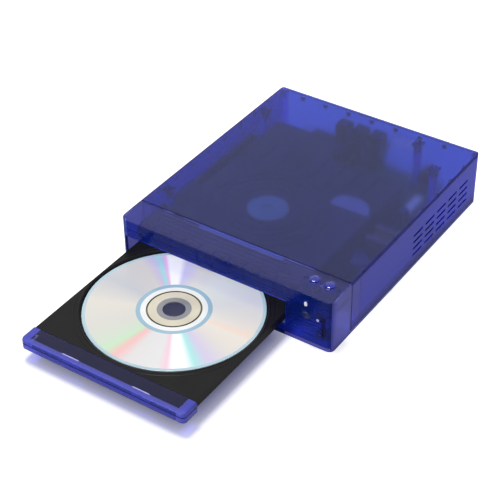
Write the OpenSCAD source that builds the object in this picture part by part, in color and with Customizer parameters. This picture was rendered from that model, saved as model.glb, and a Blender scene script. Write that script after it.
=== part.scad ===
// Compact disc player with a motor-driven loading tray.
// Housing frame: X across (0 at the middle), Y back from the front face, Z up from the table.
// The assembly is then moved in Y so that the origin is under the middle of its bounding box.
// The tray is drawn open, with the disc in it and the traverse deck lowered.

/* [Housing] */
// Width of the housing
housing_w = 168; // [168:1:200]
// Depth of the housing, front face to back face
housing_d = 202; // [200:1:240]
// Height of the housing without its feet
housing_h = 42; // [42:1:56]
// Thickness of the housing walls
wall_t = 2; // [1.6:0.1:2.2]
// Radius of the upright corners in plan
corner_r = 5; // [3:0.5:7]
// Radius of the long edges
edge_r = 1.2; // [0.6:0.1:2]
// Thickness of the base plate
base_t = 2; // [1.6:0.1:3]
// Depth of the front moulding, front face to seam
front_d = 23; // [20:1:26]
// Drop of the top strip towards the front edge
crown_drop = 1.2; // [0:0.1:2]
// Gap at the seams between mouldings
seam_gap = 0.3; // [0.2:0.05:0.5]
// Height of the rubber feet
foot_h = 1.5; // [1:0.25:5]
// Diameter of the rubber feet
foot_dia = 12; // [8:1:16]
// Distance of the feet from the sides
foot_inset = 14; // [12:1:20]

/* [Front opening] */
// Bottom of the opening above the underside of the housing
opening_sill = 7.3; // [6:0.1:7.6]
// Height of the opening
opening_h = 20.2; // [17:0.1:22]
// Gap round the closed tray door
door_gap = 0.4; // [0.3:0.05:0.8]

/* [Disc and tray] */
// Diameter of a disc
disc_dia = 120; // [120]
// Thickness of a disc
disc_t = 1.2; // [1.2]
// Diameter of the hole in a disc
disc_hole_dia = 15; // [15]
// Middle of the tray across the housing
tray_x = -16; // [-16.5:0.25:-14]
// Width of the tray
tray_w = 125; // [124.5:0.25:125.5]
// Length of the tray, behind its door
tray_len = 145.7; // [143:0.5:147]
// Height of the tray's side walls
tray_h = 6; // [5.5:0.25:6.5]
// Thickness of the tray's side walls
tray_wall_t = 1.5; // [1.2:0.1:2]
// Travel of the tray from open to closed
tray_travel = 110.5; // [100:0.5:112]
// Distance of the disc's middle behind the door's front face
disc_from_door = 77.7; // [76:0.1:79]
// Depth of the disc recess
recess_depth = 2.4; // [2:0.1:2.8]
// Radial gap round the disc in its recess
recess_gap = 0.7; // [0.5:0.1:1]
// Width of the slot in the tray over the pickup
tray_slot_w = 38; // [34:1:44]
// Height of the tray's underside above the base plate
tray_lift = 8; // [8:0.25:9]
// Height of the tray door
door_h = 8.3; // [7:0.1:8.5]
// Depth of the tray door, front to back
door_d = 13.4; // [10:0.2:14]
// Thickness of the door's walls
door_t = 1.2; // [1:0.1:1.6]

/* [Loader] */
// Distance of the loader behind the front face
loader_y = 14; // [14:0.5:16]
// Length of the loader frame
loader_len = 140; // [139:1:144]
// Height of the loader frame
loader_h = 23.5; // [22:0.5:26]
// Thickness of the loader's walls
loader_t = 1.6; // [1.2:0.1:2]
// Thickness of the loader's floor
loader_floor_t = 1.3; // [1:0.1:1.5]
// Thickness of the loader's top plate
top_plate_t = 1.6; // [1.2:0.1:2.4]
// Radius of the opening over the clamp puck
clamp_opening_r = 15; // [14:0.5:17]
// Gap between parts that slide past each other
slide_gap = 0.3; // [0.25:0.05:0.4]
// Radial play of a wheel on its post
post_play = 0.06; // [0.03:0.01:0.09]
// Radius of the gear posts
post_r = 1.5; // [1.2:0.1:1.8]

/* [Loader drive] */
// Tooth size: pitch diameter divided by number of teeth
gear_m = 1; // [1]
// Teeth of the pinion that drives the tray's rack
rack_pinion_teeth = 12; // [12:1:14]
// Teeth of the large wheel under that pinion
drive_teeth = 22; // [20:1:22]
// Teeth of the pinion on the belt wheel
belt_pinion_teeth = 10; // [10:1:12]
// Groove radius of the belt wheel
belt_wheel_r = 7.8; // [7:0.1:8]
// Groove radius of the motor pulley
motor_pulley_r = 2.6; // [2:0.1:3]
// Side of the square belt
belt_t = 1.2; // [1:0.1:1.4]
// Radius of the loading motor
load_motor_r = 8; // [7:0.5:9]
// Height of the loading motor
load_motor_h = 13; // [10:1:15]

/* [Traverse deck] */
// Thickness of the deck plate
deck_t = 1.2; // [1:0.1:1.5]
// Height of the raised deck above the base plate
deck_lift = 5.5; // [5.4:0.1:5.6]
// Angle that the deck swings down to clear the tray
deck_drop = 2.2; // [1.8:0.1:2.2]
// Distance of the deck's pivot from the back of the loader
pivot_inset = 3.5; // [3.5:0.1:5]
// Radius of the deck's pivot pins
pivot_r = 1.5; // [1.2:0.1:1.7]
// Radius of the turntable
turntable_r = 14; // [12:0.5:14.5]
// Radius of the spindle shaft
spindle_r = 0.75; // [0.6:0.05:0.9]
// Radius of the pickup's guide rods
rod_r = 1; // [0.8:0.1:1.1]
// Radius of the innermost track that the pickup reads
inner_track_r = 24; // [24:0.5:26]
// Travel of the pickup along its rods
sled_travel = 34; // [20:1:34]
// Advance of the pickup for one turn of its lead screw
screw_lead = 3; // [2:0.5:4]
// Slide of the cam that lifts the deck
cam_travel = 14; // [10:1:15]

/* [Boards and sockets] */
// Thickness of the circuit boards
board_t = 1.6; // [1:0.1:2]
// Height of the boards above the base plate
board_lift = 2.5; // [2:0.5:4]
// Radius of the outer shell of an audio or video jack
jack_r = 4.15; // [4.15]
// Length of a jack's shell behind the housing
jack_reach = 8; // [7:0.5:10]
// Distance between two jacks
jack_pitch = 14; // [13:0.5:16]
// Width of the video socket's mouth
video_w = 14; // [14]
// Height of the video socket's mouth
video_h = 4.6; // [4.6]

/* [Buttons] */
// Diameter of the buttons
button_dia = 6.6; // [5:0.2:8]
// Distance of the buttons behind the front face
button_y = 14.5; // [12:0.5:16]
// Distance between the two buttons
button_pitch = 11.5; // [10.5:0.5:14]
// Travel of a button
button_travel = 0.8; // [0.4:0.1:1]
// How far a button stands above the housing
button_rise = 1.2; // [1:0.1:1.6]

/* [Hidden] */
$fn = 48;
eps = 0.01;

// Levels of the stack, from the table up
floor_z = foot_h + base_t;
top_z = foot_h + housing_h;
frame_floor_z = floor_z + loader_floor_t;
tray_z = floor_z + tray_lift;
tray_top_z = tray_z + tray_h;
recess_z = tray_top_z - recess_depth;
tray_plate_t = 4.4;
tray_under_z = tray_top_z - tray_plate_t;
disc_lift = 0.2;
disc_z = recess_z + disc_lift;
deck_z = floor_z + deck_lift;
deck_top_z = deck_z + deck_t;
frame_top_z = floor_z + loader_h;
board_z = floor_z + board_lift;
board_top_z = board_z + board_t;

// Plan places
rear_y = housing_d + jack_reach;
origin_y = (rear_y - tray_travel) / 2;
half_w = housing_w / 2;
door_front_y = -tray_travel;
disc_y = door_front_y + disc_from_door;
spindle_y = disc_from_door;
tray_left = tray_x - tray_w / 2;
tray_right = tray_x + tray_w / 2;
tray_front_y = door_front_y + 2.8;
tray_back_y = tray_front_y + tray_len;
frame_gap = 0.5;
frame_left = tray_left - frame_gap - loader_t;
frame_right = tray_right + frame_gap + loader_t;
frame_back_y = loader_y + loader_len;
pivot_y = frame_back_y - pivot_inset;
pivot_z = deck_z - 1;
door_side = 1.5;
door_left = tray_left - door_side;
door_right = tray_right + door_side;
opening_left = door_left - door_gap;
opening_right = door_right + door_gap;
opening_z = foot_h + opening_sill;
opening_top = opening_z + opening_h;
door_top_z = tray_top_z + 0.1;
door_z = door_top_z - door_h;

// Deck places, with the deck raised
deck_left = tray_x - 50;
deck_right = tray_x + 28;
deck_front_y = spindle_y - 20.7;
deck_back_y = pivot_y + 1;
window_left = tray_x - 36;
window_right = tray_x + 22.5;
window_front_y = spindle_y + turntable_r + 0.3;
rod_z = deck_top_z + 0.4;
rod_x = [tray_x - 17.5, tray_x + 17.5];
sled_y = spindle_y + inner_track_r;
sled_front = 8.7;
sled_back = 9.8;
window_back_y = sled_y + sled_travel + sled_back + 3;
screw_x = tray_x - 30;
screw_z = deck_z + 0.2;
sled_motor_r = 3.4;
sled_motor_y = window_back_y - 15;
cam_y = deck_front_y - 7;
cam_t = 2;
pin_r = 0.8;
pin_z = deck_z + 2;
pin_x = [tray_x - 30, tray_x + 18];
pin_arm = pivot_y - (cam_y + cam_t / 2);
pin_drop = pin_arm * sin(deck_drop) + (pin_z - pivot_z) * (1 - cos(deck_drop));

// Drive train: three layers of wheels, and the rack on top
layer_c = frame_floor_z + 0.4;
layer_b = layer_c + 2.8;
layer_a = layer_b + 2.7;
belt_layer_h = 2.4;
gear_face_h = 2.2;
rack_line_x = tray_x + 52;
drive_x = rack_line_x - gear_m * rack_pinion_teeth / 2;
drive_y = loader_y + 7.5;
train_gap = gear_m * (drive_teeth + belt_pinion_teeth) / 2;
belt_wheel_x = drive_x - train_gap * cos(45);
belt_wheel_y = drive_y + train_gap * sin(45);
motor_x = frame_right + load_motor_r + 2.4;
motor_y = drive_y + 4.5;
bracket_z = layer_b + 0.4;
bracket_t = 1.2;
flange_w = 0.9;

// Front controls
control_x = half_w - 17;
button_x = [control_x - button_pitch / 2, control_x + button_pitch / 2];
strip_slope = crown_drop / front_d;
strip_z = top_z - crown_drop + strip_slope * button_y;
control_board_z = top_z - 12.7;
control_top_z = control_board_z + 1.2;
led_x = button_x[0] + 2.5;
led_z = control_top_z + 2;
ir_z = control_board_z - 5.8;
ir_r = 3.3;

// Boards: the main board runs behind the loader, and a little way behind the power board
board_lap = 8.4;
power_board_left = frame_right + 3;
power_board_right = half_w - wall_t - 2;
power_board_front = motor_y + load_motor_r + 6;
power_board_back = frame_back_y - 2;
main_board_left = -half_w + 12;
main_board_right = power_board_left + board_lap;
main_board_front = frame_back_y + 3;
main_board_back = housing_d - wall_t - 2.5;

// Screening can in the middle of the main board, and sockets at the back
can_left = -half_w + 40;
can_w = 34;
can_h = 6;
can_front = main_board_front + 8;
can_d = main_board_back - 8.5 - can_front;
jack_body_d = 8;
jack_body_h = 26;
jack_z = board_top_z + 8.5;
jack_x = [for (i = [0:2]) can_left + can_w - 14 + i * jack_pitch];
video_x = jack_x[0] - 30;
inlet_x = main_board_right - 12;
inlet_z = board_top_z + 5.5;

// Bosses under the roof: two stand on the base plate, two stop short
boss_r = 3;
boss_left = -half_w + wall_t + boss_r + 1.6;
boss_back = main_board_front + 11;
long_bosses = [[boss_left, boss_back], [main_board_right + boss_r + 2, boss_back]];
short_bosses = [[boss_left, front_d + 23.5], [inlet_x - 8, housing_d - 11.8]];

module at_origin() { translate([0, -origin_y, 0]) children(); }

function arc(c, r, a0, a1, n = 5) =
    [for (i = [0:n]) let (a = a0 + (a1 - a0) * i / n) [c[0] + r * cos(a), c[1] + r * sin(a)]];

// A rectangle with round corners, its lower left corner at the origin
module round_rect(w, d, r) {
    translate([r, 0]) square([w - 2 * r, d]);
    translate([0, r]) square([w, d - 2 * r]);
    for (x = [r, w - r], y = [r, d - r]) translate([x, y]) circle(r);
}

// A box between two corners
module span(a, b) { translate(a) cube([b[0] - a[0], b[1] - a[1], b[2] - a[2]]); }

// A flat outline in Y and Z, drawn out along X
module drawn_x(x0, x1) {
    translate([x0, 0, 0]) rotate([90, 0, 90]) linear_extrude(x1 - x0) children();
}

// A post along Y from y0 to y1
module bar_y(x, z, r, y0, y1) {
    translate([x, y0, z]) rotate([-90, 0, 0]) cylinder(r = r, h = y1 - y0);
}

// A post along X from x0 to x1
module bar_x(y, z, r, x0, x1) { translate([x0, y, z]) rotate([0, 90, 0]) cylinder(r = r, h = x1 - x0); }

module post(x, y, r, z0, z1) { translate([x, y, z0]) cylinder(r = r, h = z1 - z0); }

// Side view of the housing, shrunk by inset, with the strip falling to the front
module side_view(inset, r) {
    roof = top_z - inset;
    brow = roof - crown_drop;
    polygon(concat(
        [[inset, foot_h + inset], [housing_d - inset, foot_h + inset]],
        arc([housing_d - inset - r, roof - r], r, 0, 90),
        [[front_d, roof]],
        arc([inset + r, brow - r], r, 90, 180)));
}

// The block that the housing is cut from, shrunk by inset on every side
module housing_block(inset = 0) {
    w = housing_w - 2 * inset;
    r = max(edge_r - inset, 0.4);
    intersection() {
        translate([-w / 2, inset, foot_h])
            linear_extrude(housing_h) round_rect(w, housing_d - 2 * inset, corner_r - inset);
        translate([-w / 2, housing_d, foot_h + inset])
            rotate([90, 0, 0]) linear_extrude(housing_d) round_rect(w, housing_h - 2 * inset, r);
        drawn_x(-half_w, half_w) side_view(inset, r);
    }
}

// Part of the housing block between two distances behind the front face
module housing_slice(y0, y1, z0, z1) {
    intersection() {
        housing_block();
        span([-half_w - 1, y0, z0], [half_w + 1, y1, z1]);
    }
}

// An involute tooth space is approached by a trapezoid with a little backlash
module gear(teeth, h) {
    pitch_r = gear_m * teeth / 2;
    tip_r = pitch_r + 0.85 * gear_m;
    root_r = pitch_r - 1.15 * gear_m;
    step = 360 / teeth;
    root_w = step * 0.27;
    pitch_w = step * 0.205;
    tip_w = step * 0.09;
    linear_extrude(h) polygon([for (i = [0:teeth - 1])
        for (p = [[root_r, -root_w], [pitch_r, -pitch_w], [tip_r, -tip_w],
                  [tip_r, tip_w], [pitch_r, pitch_w], [root_r, root_w]])
        let (a = i * step + p[1]) [p[0] * cos(a), p[0] * sin(a)]]);
}

// ---------------------------------------------------------------- housing

// A screw that stands head down: round head, then shank
module screw(p, head_r, head_h, shank_r, shank_h) {
    translate(p) {
        cylinder(r = head_r, h = head_h);
        translate([0, 0, head_h]) cylinder(r = shank_r, h = shank_h);
    }
}

screw_head_r = 2.6;
screw_shank_r = 1.2;
screw_hole_r = 1.5;
pilot_r = 1.25;
standoff_r = 2.6;
main_holes = [[main_board_left + 4, main_board_back - 4], [main_board_left + 4, main_board_front + 10],
    [main_board_right - 4, main_board_back - 4], [main_board_right - 4, main_board_front + 4]];
power_holes = [[power_board_left + 4, power_board_front + 4], [power_board_right - 4, power_board_front + 4],
    [power_board_left + 4, power_board_back - 4], [power_board_right - 4, power_board_back - 4]];
loader_holes = [[frame_left + 9.5, loader_y + 14], [frame_right - 6, loader_y + 44],
    [frame_right - 20, loader_y + 112], [frame_left + 9.5, loader_y + 112]];
foot_places = [for (x = [-1, 1], y = [foot_inset, housing_d - foot_inset])
    [x * (half_w - foot_inset), y]];
rear_half_w = half_w - corner_r - 1;

module base_cover() {
    at_origin() color("royalblue", 0.6) difference() {
        union() {
            housing_slice(front_d + seam_gap, housing_d, foot_h, floor_z);
            for (p = concat(main_holes, power_holes)) post(p[0], p[1], standoff_r, floor_z - eps, board_z);
        }
        for (p = long_bosses) {
            post(p[0], p[1], screw_hole_r, 0, floor_z + 1);
            post(p[0], p[1], screw_head_r + 0.3, 0, foot_h + 1.2);
        }
        for (p = loader_holes) post(p[0], p[1], pilot_r, foot_h + 0.4, floor_z + 1);
        for (p = concat(main_holes, power_holes)) post(p[0], p[1], pilot_r, foot_h + 0.8, board_z + 1);
        for (i = [0:7]) translate([frame_right + 8, 60 + i * 9, 0]) cube([18, 3, floor_z + 1]);
    }
}

vent_rows = 4;
vent_cols = 5;
vent_pitch = 16.6;
vent_l = 12.6;
vent_h = 1.8;
vent_rise = 5.4;
vent_y = housing_d - 97;
vent_z = foot_h + 11;

module vent_slots(x0, x1) {
    for (c = [0:vent_cols - 1], r = [0:vent_rows - 1])
        translate([x0, vent_y + c * vent_pitch, vent_z + r * vent_rise]) cube([x1 - x0, vent_l, vent_h]);
}

tab_w = 3;
tab_h = 2.4;

// Snap tabs under the roof along the side and back walls
module roof_tabs() {
    roof = top_z - wall_t;
    side = half_w - wall_t;
    for (y = [front_d + 16:20:housing_d - 12], x = [-side, side - 1.4])
        translate([x, y, roof - tab_h]) cube([1.4, tab_w, tab_h + eps]);
    for (x = [-half_w + 20:20:half_w - 14])
        translate([x, housing_d - 2 * wall_t - 1.6, roof - tab_h]) cube([tab_w, 1.4, tab_h + eps]);
}

// A boss under the roof with an X of gussets at its root
module roof_boss(p, z0) {
    roof = top_z - wall_t;
    post(p[0], p[1], boss_r, z0, roof + eps);
    translate([p[0], p[1], roof - 2]) for (a = [45, 135])
        rotate([0, 0, a]) translate([-4.8, -0.5, 0]) cube([9.6, 1, 2 + eps]);
}

module top_cover() {
    z0 = floor_z + seam_gap;
    at_origin() color("royalblue", 0.6) difference() {
        union() {
            difference() {
                housing_slice(front_d + seam_gap, housing_d, z0, top_z);
                housing_block(wall_t);
                span([-half_w + wall_t, front_d - 1, foot_h], [half_w - wall_t, front_d + 2, top_z - wall_t]);
                span([-half_w + wall_t, front_d - 1, foot_h - 1],
                     [half_w - wall_t, housing_d - corner_r, floor_z + 2]);
                span([-rear_half_w, housing_d - corner_r - 1, foot_h - 1],
                     [rear_half_w, housing_d + 1, top_z - wall_t]);
                vent_slots(-half_w - 1, -half_w + wall_t + 1);
                vent_slots(half_w - wall_t - 1, half_w + 1);
            }
            roof_tabs();
            for (p = long_bosses) roof_boss(p, floor_z + seam_gap);
            roof_boss(short_bosses[0], frame_top_z + top_plate_t + seam_gap);
            roof_boss(short_bosses[1], board_top_z + seam_gap);
        }
        for (p = long_bosses) post(p[0], p[1], pilot_r, floor_z - 1, floor_z + 12);
    }
}

groove_d = 0.5;
rib_left = opening_right + 4;
rib_right = half_w - 8.4;
rib_count = 6;
rib_pitch = 2.9;

// Fine horizontal grooves in the block at the right of the opening, and the long step lines
module face_grooves() {
    for (i = [0:rib_count - 1])
        span([rib_left, -1, opening_z + 1 + i * rib_pitch],
             [rib_right, groove_d, opening_z + 1.7 + i * rib_pitch]);
    span([rib_right + 0.8, -1, opening_z], [rib_right + 1.6, groove_d, opening_z + 17]);
    for (z = [opening_top + 4, opening_top + 6.2])
        span([-half_w - 1, -1, z], [half_w + 1, groove_d, z + 0.5]);
    for (z = [opening_top + 4, opening_top + 6.2], x = [-half_w - 1, half_w - groove_d])
        span([x, -1, z], [x + 1 + groove_d, front_d - 4, z + 0.5]);
}

module front_panel() {
    at_origin() color("royalblue", 0.6) difference() {
        union() {
            difference() {
                housing_slice(0, front_d, foot_h, top_z);
                housing_block(wall_t);
                span([-half_w + wall_t, front_d - 2, floor_z], [half_w - wall_t, front_d + 1, top_z - wall_t]);
            }
            for (x = [button_x[0] - 6.5, button_x[1] + 6.2])
                post(x, button_y, 1.6, control_top_z, strip_z - 1);
            for (x = [opening_right + 1.5, half_w - 4.5], z = [opening_z + 1, opening_top - 2])
                span([x, wall_t - eps, z], [x + 1, front_d - 8, z + 1.4]);
            for (i = [0:9])
                span([-half_w + 14 + i * 12, wall_t - eps, opening_top + 0.8],
                     [-half_w + 15 + i * 12, wall_t + 5, top_z - wall_t - 0.4]);
        }
        span([opening_left, -1, opening_z], [opening_right, wall_t + 1, opening_top]);
        face_grooves();
        span([led_x - 1.2, -1, led_z - 1.9], [led_x + 1.2, wall_t + 1, led_z + 1.9]);
        bar_y(led_x, ir_z, ir_r + 0.3, -1, wall_t + 1);
        for (x = button_x) post(x, button_y, button_dia / 2 + 0.3, strip_z - 4, top_z + 1);
    }
}

rear_fit = 0.3;

module rear_panel() {
    z1 = top_z - wall_t - rear_fit;
    at_origin() color("midnightblue", 0.7) difference() {
        span([-rear_half_w + rear_fit, housing_d - wall_t, floor_z], [rear_half_w - rear_fit, housing_d, z1]);
        for (x = jack_x) bar_y(x, jack_z, jack_r + 0.3, housing_d - 3, housing_d + 1);
        span([video_x - video_w / 2 - 1.3, housing_d - 3, board_top_z - 0.2],
             [video_x + video_w / 2 + 1.3, housing_d + 1, board_top_z + video_h + 2.3]);
        bar_y(inlet_x, inlet_z, 4.3, housing_d - 3, housing_d + 1);
        for (i = [0:9]) span([inlet_x - 34 + i * 2.4, housing_d - 3, inlet_z + 10],
                             [inlet_x - 32.8 + i * 2.4, housing_d + 1, inlet_z + 22]);
    }
}

module rubber_feet() {
    at_origin() color("#1b1b1e") for (p = foot_places)
        translate([p[0], p[1], 0]) {
            cylinder(r1 = foot_dia / 2 - 0.5, r2 = foot_dia / 2, h = 0.5);
            translate([0, 0, 0.5]) cylinder(r = foot_dia / 2, h = foot_h - 0.5);
        }
}

module case_screws() {
    at_origin() color("silver") for (p = long_bosses)
        screw([p[0], p[1], foot_h + 0.1], screw_head_r, 1.1, screw_shank_r, 11);
}

// ---------------------------------------------------------------- loader

deck_open_front = deck_front_y + 1;
deck_open_back = frame_back_y - 4;
ear_z = pivot_z + 3.4;
ear_t = 2.6;
rail_w = 3.5;
rail_z = tray_z - slide_gap;
belt_cut = [motor_y - 6, motor_y + 10];

// The two pivot ears, each with a bore for the deck's pin
module pivot_ears() {
    for (x = [deck_left - 2.3 - ear_t, deck_right + 2.3])
        difference() {
            span([x, pivot_y - 3, frame_floor_z - eps], [x + ear_t, pivot_y + 2.8, ear_z]);
            bar_x(pivot_y, pivot_z, pivot_r + post_play, x - 1, x + ear_t + 1);
        }
}

// Channel that the lifting cam slides in
module cam_channel() {
    for (y = [cam_y - slide_gap - 2, cam_y + cam_t + slide_gap])
        span([deck_left + 2, y, frame_floor_z - eps], [deck_right + 10, y + 2, frame_floor_z + 1.2]);
}

// Comb of short upright ribs on the loader's front beam
module beam_comb(x, count) {
    for (i = [0:count - 1])
        span([x + i * 2.6, loader_y - 1.6, tray_top_z + 9], [x + 1.2 + i * 2.6, loader_y + eps, frame_top_z]);
}

module loader_frame() {
    slot_z = tray_top_z + 0.5;
    at_origin() color("#17171a") difference() {
        union() {
            span([frame_left, loader_y, floor_z], [frame_right, frame_back_y, frame_floor_z]);
            for (x = [frame_left, frame_right - loader_t])
                span([x, loader_y, floor_z], [x + loader_t, frame_back_y, frame_top_z]);
            span([frame_left, frame_back_y - loader_t, floor_z], [frame_right, frame_back_y, frame_top_z]);
            span([frame_left, loader_y, slot_z], [frame_right, loader_y + loader_t, frame_top_z]);
            difference() {
                span([frame_left, loader_y, floor_z], [frame_right, loader_y + loader_t, rail_z - 0.4]);
                post(drive_x, drive_y, gear_m * (drive_teeth / 2 + 1.4), layer_b - 0.4, rail_z);
            }
            for (x = [frame_left + loader_t - eps, frame_right - loader_t - rail_w + eps])
                span([x, loader_y, rail_z - 1.6], [x + rail_w, frame_back_y - loader_t, rail_z]);
            for (y = [loader_y, loader_y + 46, loader_y + 88],
                 x = [frame_left + loader_t - eps, frame_right - loader_t - 2.3 + eps])
                span([x, y, slot_z - 0.2], [x + 2.3, y + 8, slot_z + 1.2]);
            pivot_ears();
            cam_channel();
            for (c = [[-66, 6], [-28, 4], [30, 6]]) beam_comb(tray_x + 16 + c[0], c[1]);
            post(drive_x, drive_y, post_r, floor_z, layer_a + gear_face_h + 0.2);
            post(belt_wheel_x, belt_wheel_y, post_r, floor_z, layer_b + gear_face_h + 0.2);
            span([frame_right - loader_t, motor_y - 8, bracket_z],
                 [motor_x + load_motor_r, motor_y + 8, bracket_z + bracket_t]);
            span([frame_right - eps, motor_y - 9.2, bracket_z],
                 [motor_x + load_motor_r, motor_y - 8 + eps, bracket_z + 6]);
        }
        span([deck_left - 2, deck_open_front, floor_z - 1],
             [deck_right + 2, deck_open_back, frame_floor_z + eps]);
        span([frame_right - loader_t - 1, belt_cut[0], frame_floor_z],
             [frame_right + 1, belt_cut[1], bracket_z]);
        post(motor_x, motor_y, motor_pulley_r + 1.6, layer_c, bracket_z + bracket_t + 1);
        span([tray_x - 30, frame_back_y - loader_t - 1, tray_top_z],
             [tray_x + 30, frame_back_y + 1, frame_top_z + 1]);
        for (p = loader_holes) post(p[0], p[1], screw_hole_r, floor_z - 1, frame_floor_z + 1);
    }
}

module loader_screws() {
    at_origin() color("silver") for (p = loader_holes)
        translate([p[0], p[1], frame_floor_z + 1.5]) rotate([180, 0, 0])
            screw([0, 0, 0], screw_head_r - 0.3, 1.5, screw_shank_r, loader_floor_t + 1);
}

clamp_well_h = 9;
clamp_neck_r = 11.9;
clamp_ledge_r = clamp_neck_r + 0.4;
clamp_flange_r = clamp_opening_r - 0.5;
clamp_well_z = frame_top_z - clamp_well_h;
ledge_t = 1.4;
clamp_flange_z = clamp_well_z + ledge_t + slide_gap;
clamp_face_z = disc_z + disc_t + 1.7;
rim_h = 1;
clamp_cap_z = frame_top_z + top_plate_t + rim_h;
plate_notch = 9;
apron_d = 23;
apron_right = tray_x + 2;

// The plate carries the clamp, and its apron reaches back over the main board
module loader_top_plate() {
    z = frame_top_z;
    plate_front = loader_y + 4;
    at_origin() color("#17171a") difference() {
        union() {
            span([frame_left, plate_front, z], [frame_right, frame_back_y, z + top_plate_t]);
            span([frame_left + plate_notch, frame_back_y - eps, z],
                 [apron_right, frame_back_y + apron_d, z + top_plate_t]);
            post(tray_x, spindle_y, clamp_opening_r + 1.8, clamp_well_z, z + eps);
            post(tray_x, spindle_y, clamp_opening_r + 1.8, z, z + top_plate_t + rim_h);
            for (r = [24:6:42]) difference() {
                post(tray_x, spindle_y, r + 1, z + top_plate_t - eps, z + top_plate_t + 1);
                post(tray_x, spindle_y, r, z, z + top_plate_t + 2);
            }
            for (i = [0:5]) span([frame_left + 8, plate_front + 2 + i * 4, z + top_plate_t - eps],
                                 [frame_right - 8 - 4 * i, plate_front + 3 + i * 4, z + top_plate_t + 1]);
            for (x = [frame_left + 12:14:frame_right - 10])
                span([x, spindle_y + 46, z + top_plate_t - eps],
                     [x + 1.2, frame_back_y - 4, z + top_plate_t + 1]);
        }
        post(tray_x, spindle_y, clamp_opening_r, clamp_well_z + ledge_t, z + top_plate_t + 3);
        post(tray_x, spindle_y, clamp_ledge_r, clamp_well_z - 1, z);
        span([tray_x + 36, spindle_y + 34, z - 1],
             [frame_right - 8, spindle_y + 46, z + top_plate_t + 3]);
        span([frame_left - 1, plate_front + 58, z - 1],
             [frame_left + plate_notch, frame_back_y + 1, z + top_plate_t + 3]);
    }
}

magnet_r = 8.6;
magnet_h = 1;
cone_r = disc_hole_dia / 2 - 0.3;

module clamp_puck() {
    at_origin() color("lightsteelblue") translate([tray_x, spindle_y, 0]) difference() {
        union() {
            translate([0, 0, clamp_flange_z]) cylinder(r = clamp_flange_r, h = clamp_cap_z - clamp_flange_z);
            translate([0, 0, clamp_face_z]) cylinder(r = clamp_neck_r, h = clamp_flange_z - clamp_face_z + eps);
        }
        translate([0, 0, clamp_face_z - 1]) cylinder(r = cone_r + 0.9, h = 2.8);
        translate([0, 0, clamp_cap_z - magnet_h]) cylinder(r = magnet_r, h = magnet_h + 1);
    }
}

module clamp_ring() {
    at_origin() color("silver") translate([tray_x, spindle_y, clamp_cap_z - magnet_h]) difference() {
        cylinder(r = magnet_r, h = magnet_h);
        translate([0, 0, -1]) cylinder(r = 4, h = magnet_h + 2);
    }
}

motor_base_z = bracket_z + bracket_t;

module load_motor() {
    at_origin() color("silver") translate([motor_x, motor_y, 0]) difference() {
        union() {
            translate([0, 0, motor_base_z]) cylinder(r = load_motor_r, h = load_motor_h);
            translate([0, 0, motor_base_z + load_motor_h - eps]) cylinder(r = 3, h = 1.2);
        }
        translate([0, 0, motor_base_z - 1]) cylinder(r = 1 + post_play, h = 7);
    }
}

// A grooved pulley between two flanges
module pulley(groove_r, z) {
    translate([0, 0, z]) {
        cylinder(r = groove_r + flange_w, h = 0.4);
        cylinder(r = groove_r, h = belt_layer_h);
        translate([0, 0, belt_layer_h - 0.4]) cylinder(r = groove_r + flange_w, h = 0.4);
    }
}

module motor_pulley() {
    at_origin() color("white") translate([motor_x, motor_y, 0]) {
        pulley(motor_pulley_r, layer_c);
        translate([0, 0, layer_c]) cylinder(r = 1, h = motor_base_z + 5 - layer_c);
    }
}

belt_gap = 0.25;

module belt_outline(extra) {
    hull() {
        translate([belt_wheel_x, belt_wheel_y]) circle(r = belt_wheel_r + belt_gap + extra, $fn = 40);
        translate([motor_x, motor_y]) circle(r = motor_pulley_r + belt_gap + extra, $fn = 24);
    }
}

module drive_belt() {
    at_origin() color("#222222") translate([0, 0, layer_c + (belt_layer_h - belt_t) / 2])
        linear_extrude(belt_t) difference() {
            belt_outline(belt_t);
            belt_outline(0);
        }
}

module belt_wheel() {
    mesh_angle = 315 + 180 / belt_pinion_teeth;
    at_origin() color("white") translate([belt_wheel_x, belt_wheel_y, 0]) difference() {
        union() {
            pulley(belt_wheel_r, layer_c);
            translate([0, 0, layer_c + belt_layer_h - eps])
                rotate([0, 0, mesh_angle])
                    gear(belt_pinion_teeth, layer_b + gear_face_h - layer_c - belt_layer_h);
        }
        translate([0, 0, layer_c - 1]) cylinder(r = post_r + post_play, h = 12);
    }
}

module drive_gear() {
    at_origin() color("white") translate([drive_x, drive_y, 0]) difference() {
        union() {
            translate([0, 0, layer_b]) rotate([0, 0, 135]) gear(drive_teeth, gear_face_h);
            translate([0, 0, layer_b + gear_face_h - eps])
                rotate([0, 0, 180 / rack_pinion_teeth]) gear(rack_pinion_teeth, layer_a - layer_b);
        }
        translate([0, 0, layer_b - 1]) cylinder(r = post_r + post_play, h = 12);
    }
}

// ---------------------------------------------------------------- tray, door and disc

tray_front_top_z = door_top_z - door_t - 0.1;
rack_pitch = PI * gear_m;
rack_count = ceil((tray_travel + 6) / rack_pitch);

// The toothed strip under the tray, one tooth in line with the pinion's axis
module rack() {
    x = rack_line_x;
    back = x + 1.15 * gear_m;
    span([back, drive_y - (rack_count - 1.5) * rack_pitch, layer_a + 0.1],
         [back + 2, drive_y + 1.5 * rack_pitch, tray_under_z + eps]);
    translate([0, 0, layer_a + 0.1]) linear_extrude(tray_under_z + eps - layer_a - 0.1)
        for (i = [0:rack_count - 1]) translate([x, drive_y + (1 - i) * rack_pitch])
            polygon([[1.2 * gear_m, -1.05], [0, -0.65], [-0.75 * gear_m, -0.38],
                     [-0.75 * gear_m, 0.38], [0, 0.65], [1.2 * gear_m, 1.05]]);
}

notch_x = [tray_x - 33, tray_x + 22];
notch_w = 15.2;

tab_inset = 6.5;
shoulder_y = door_front_y + door_d - 0.6;

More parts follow.
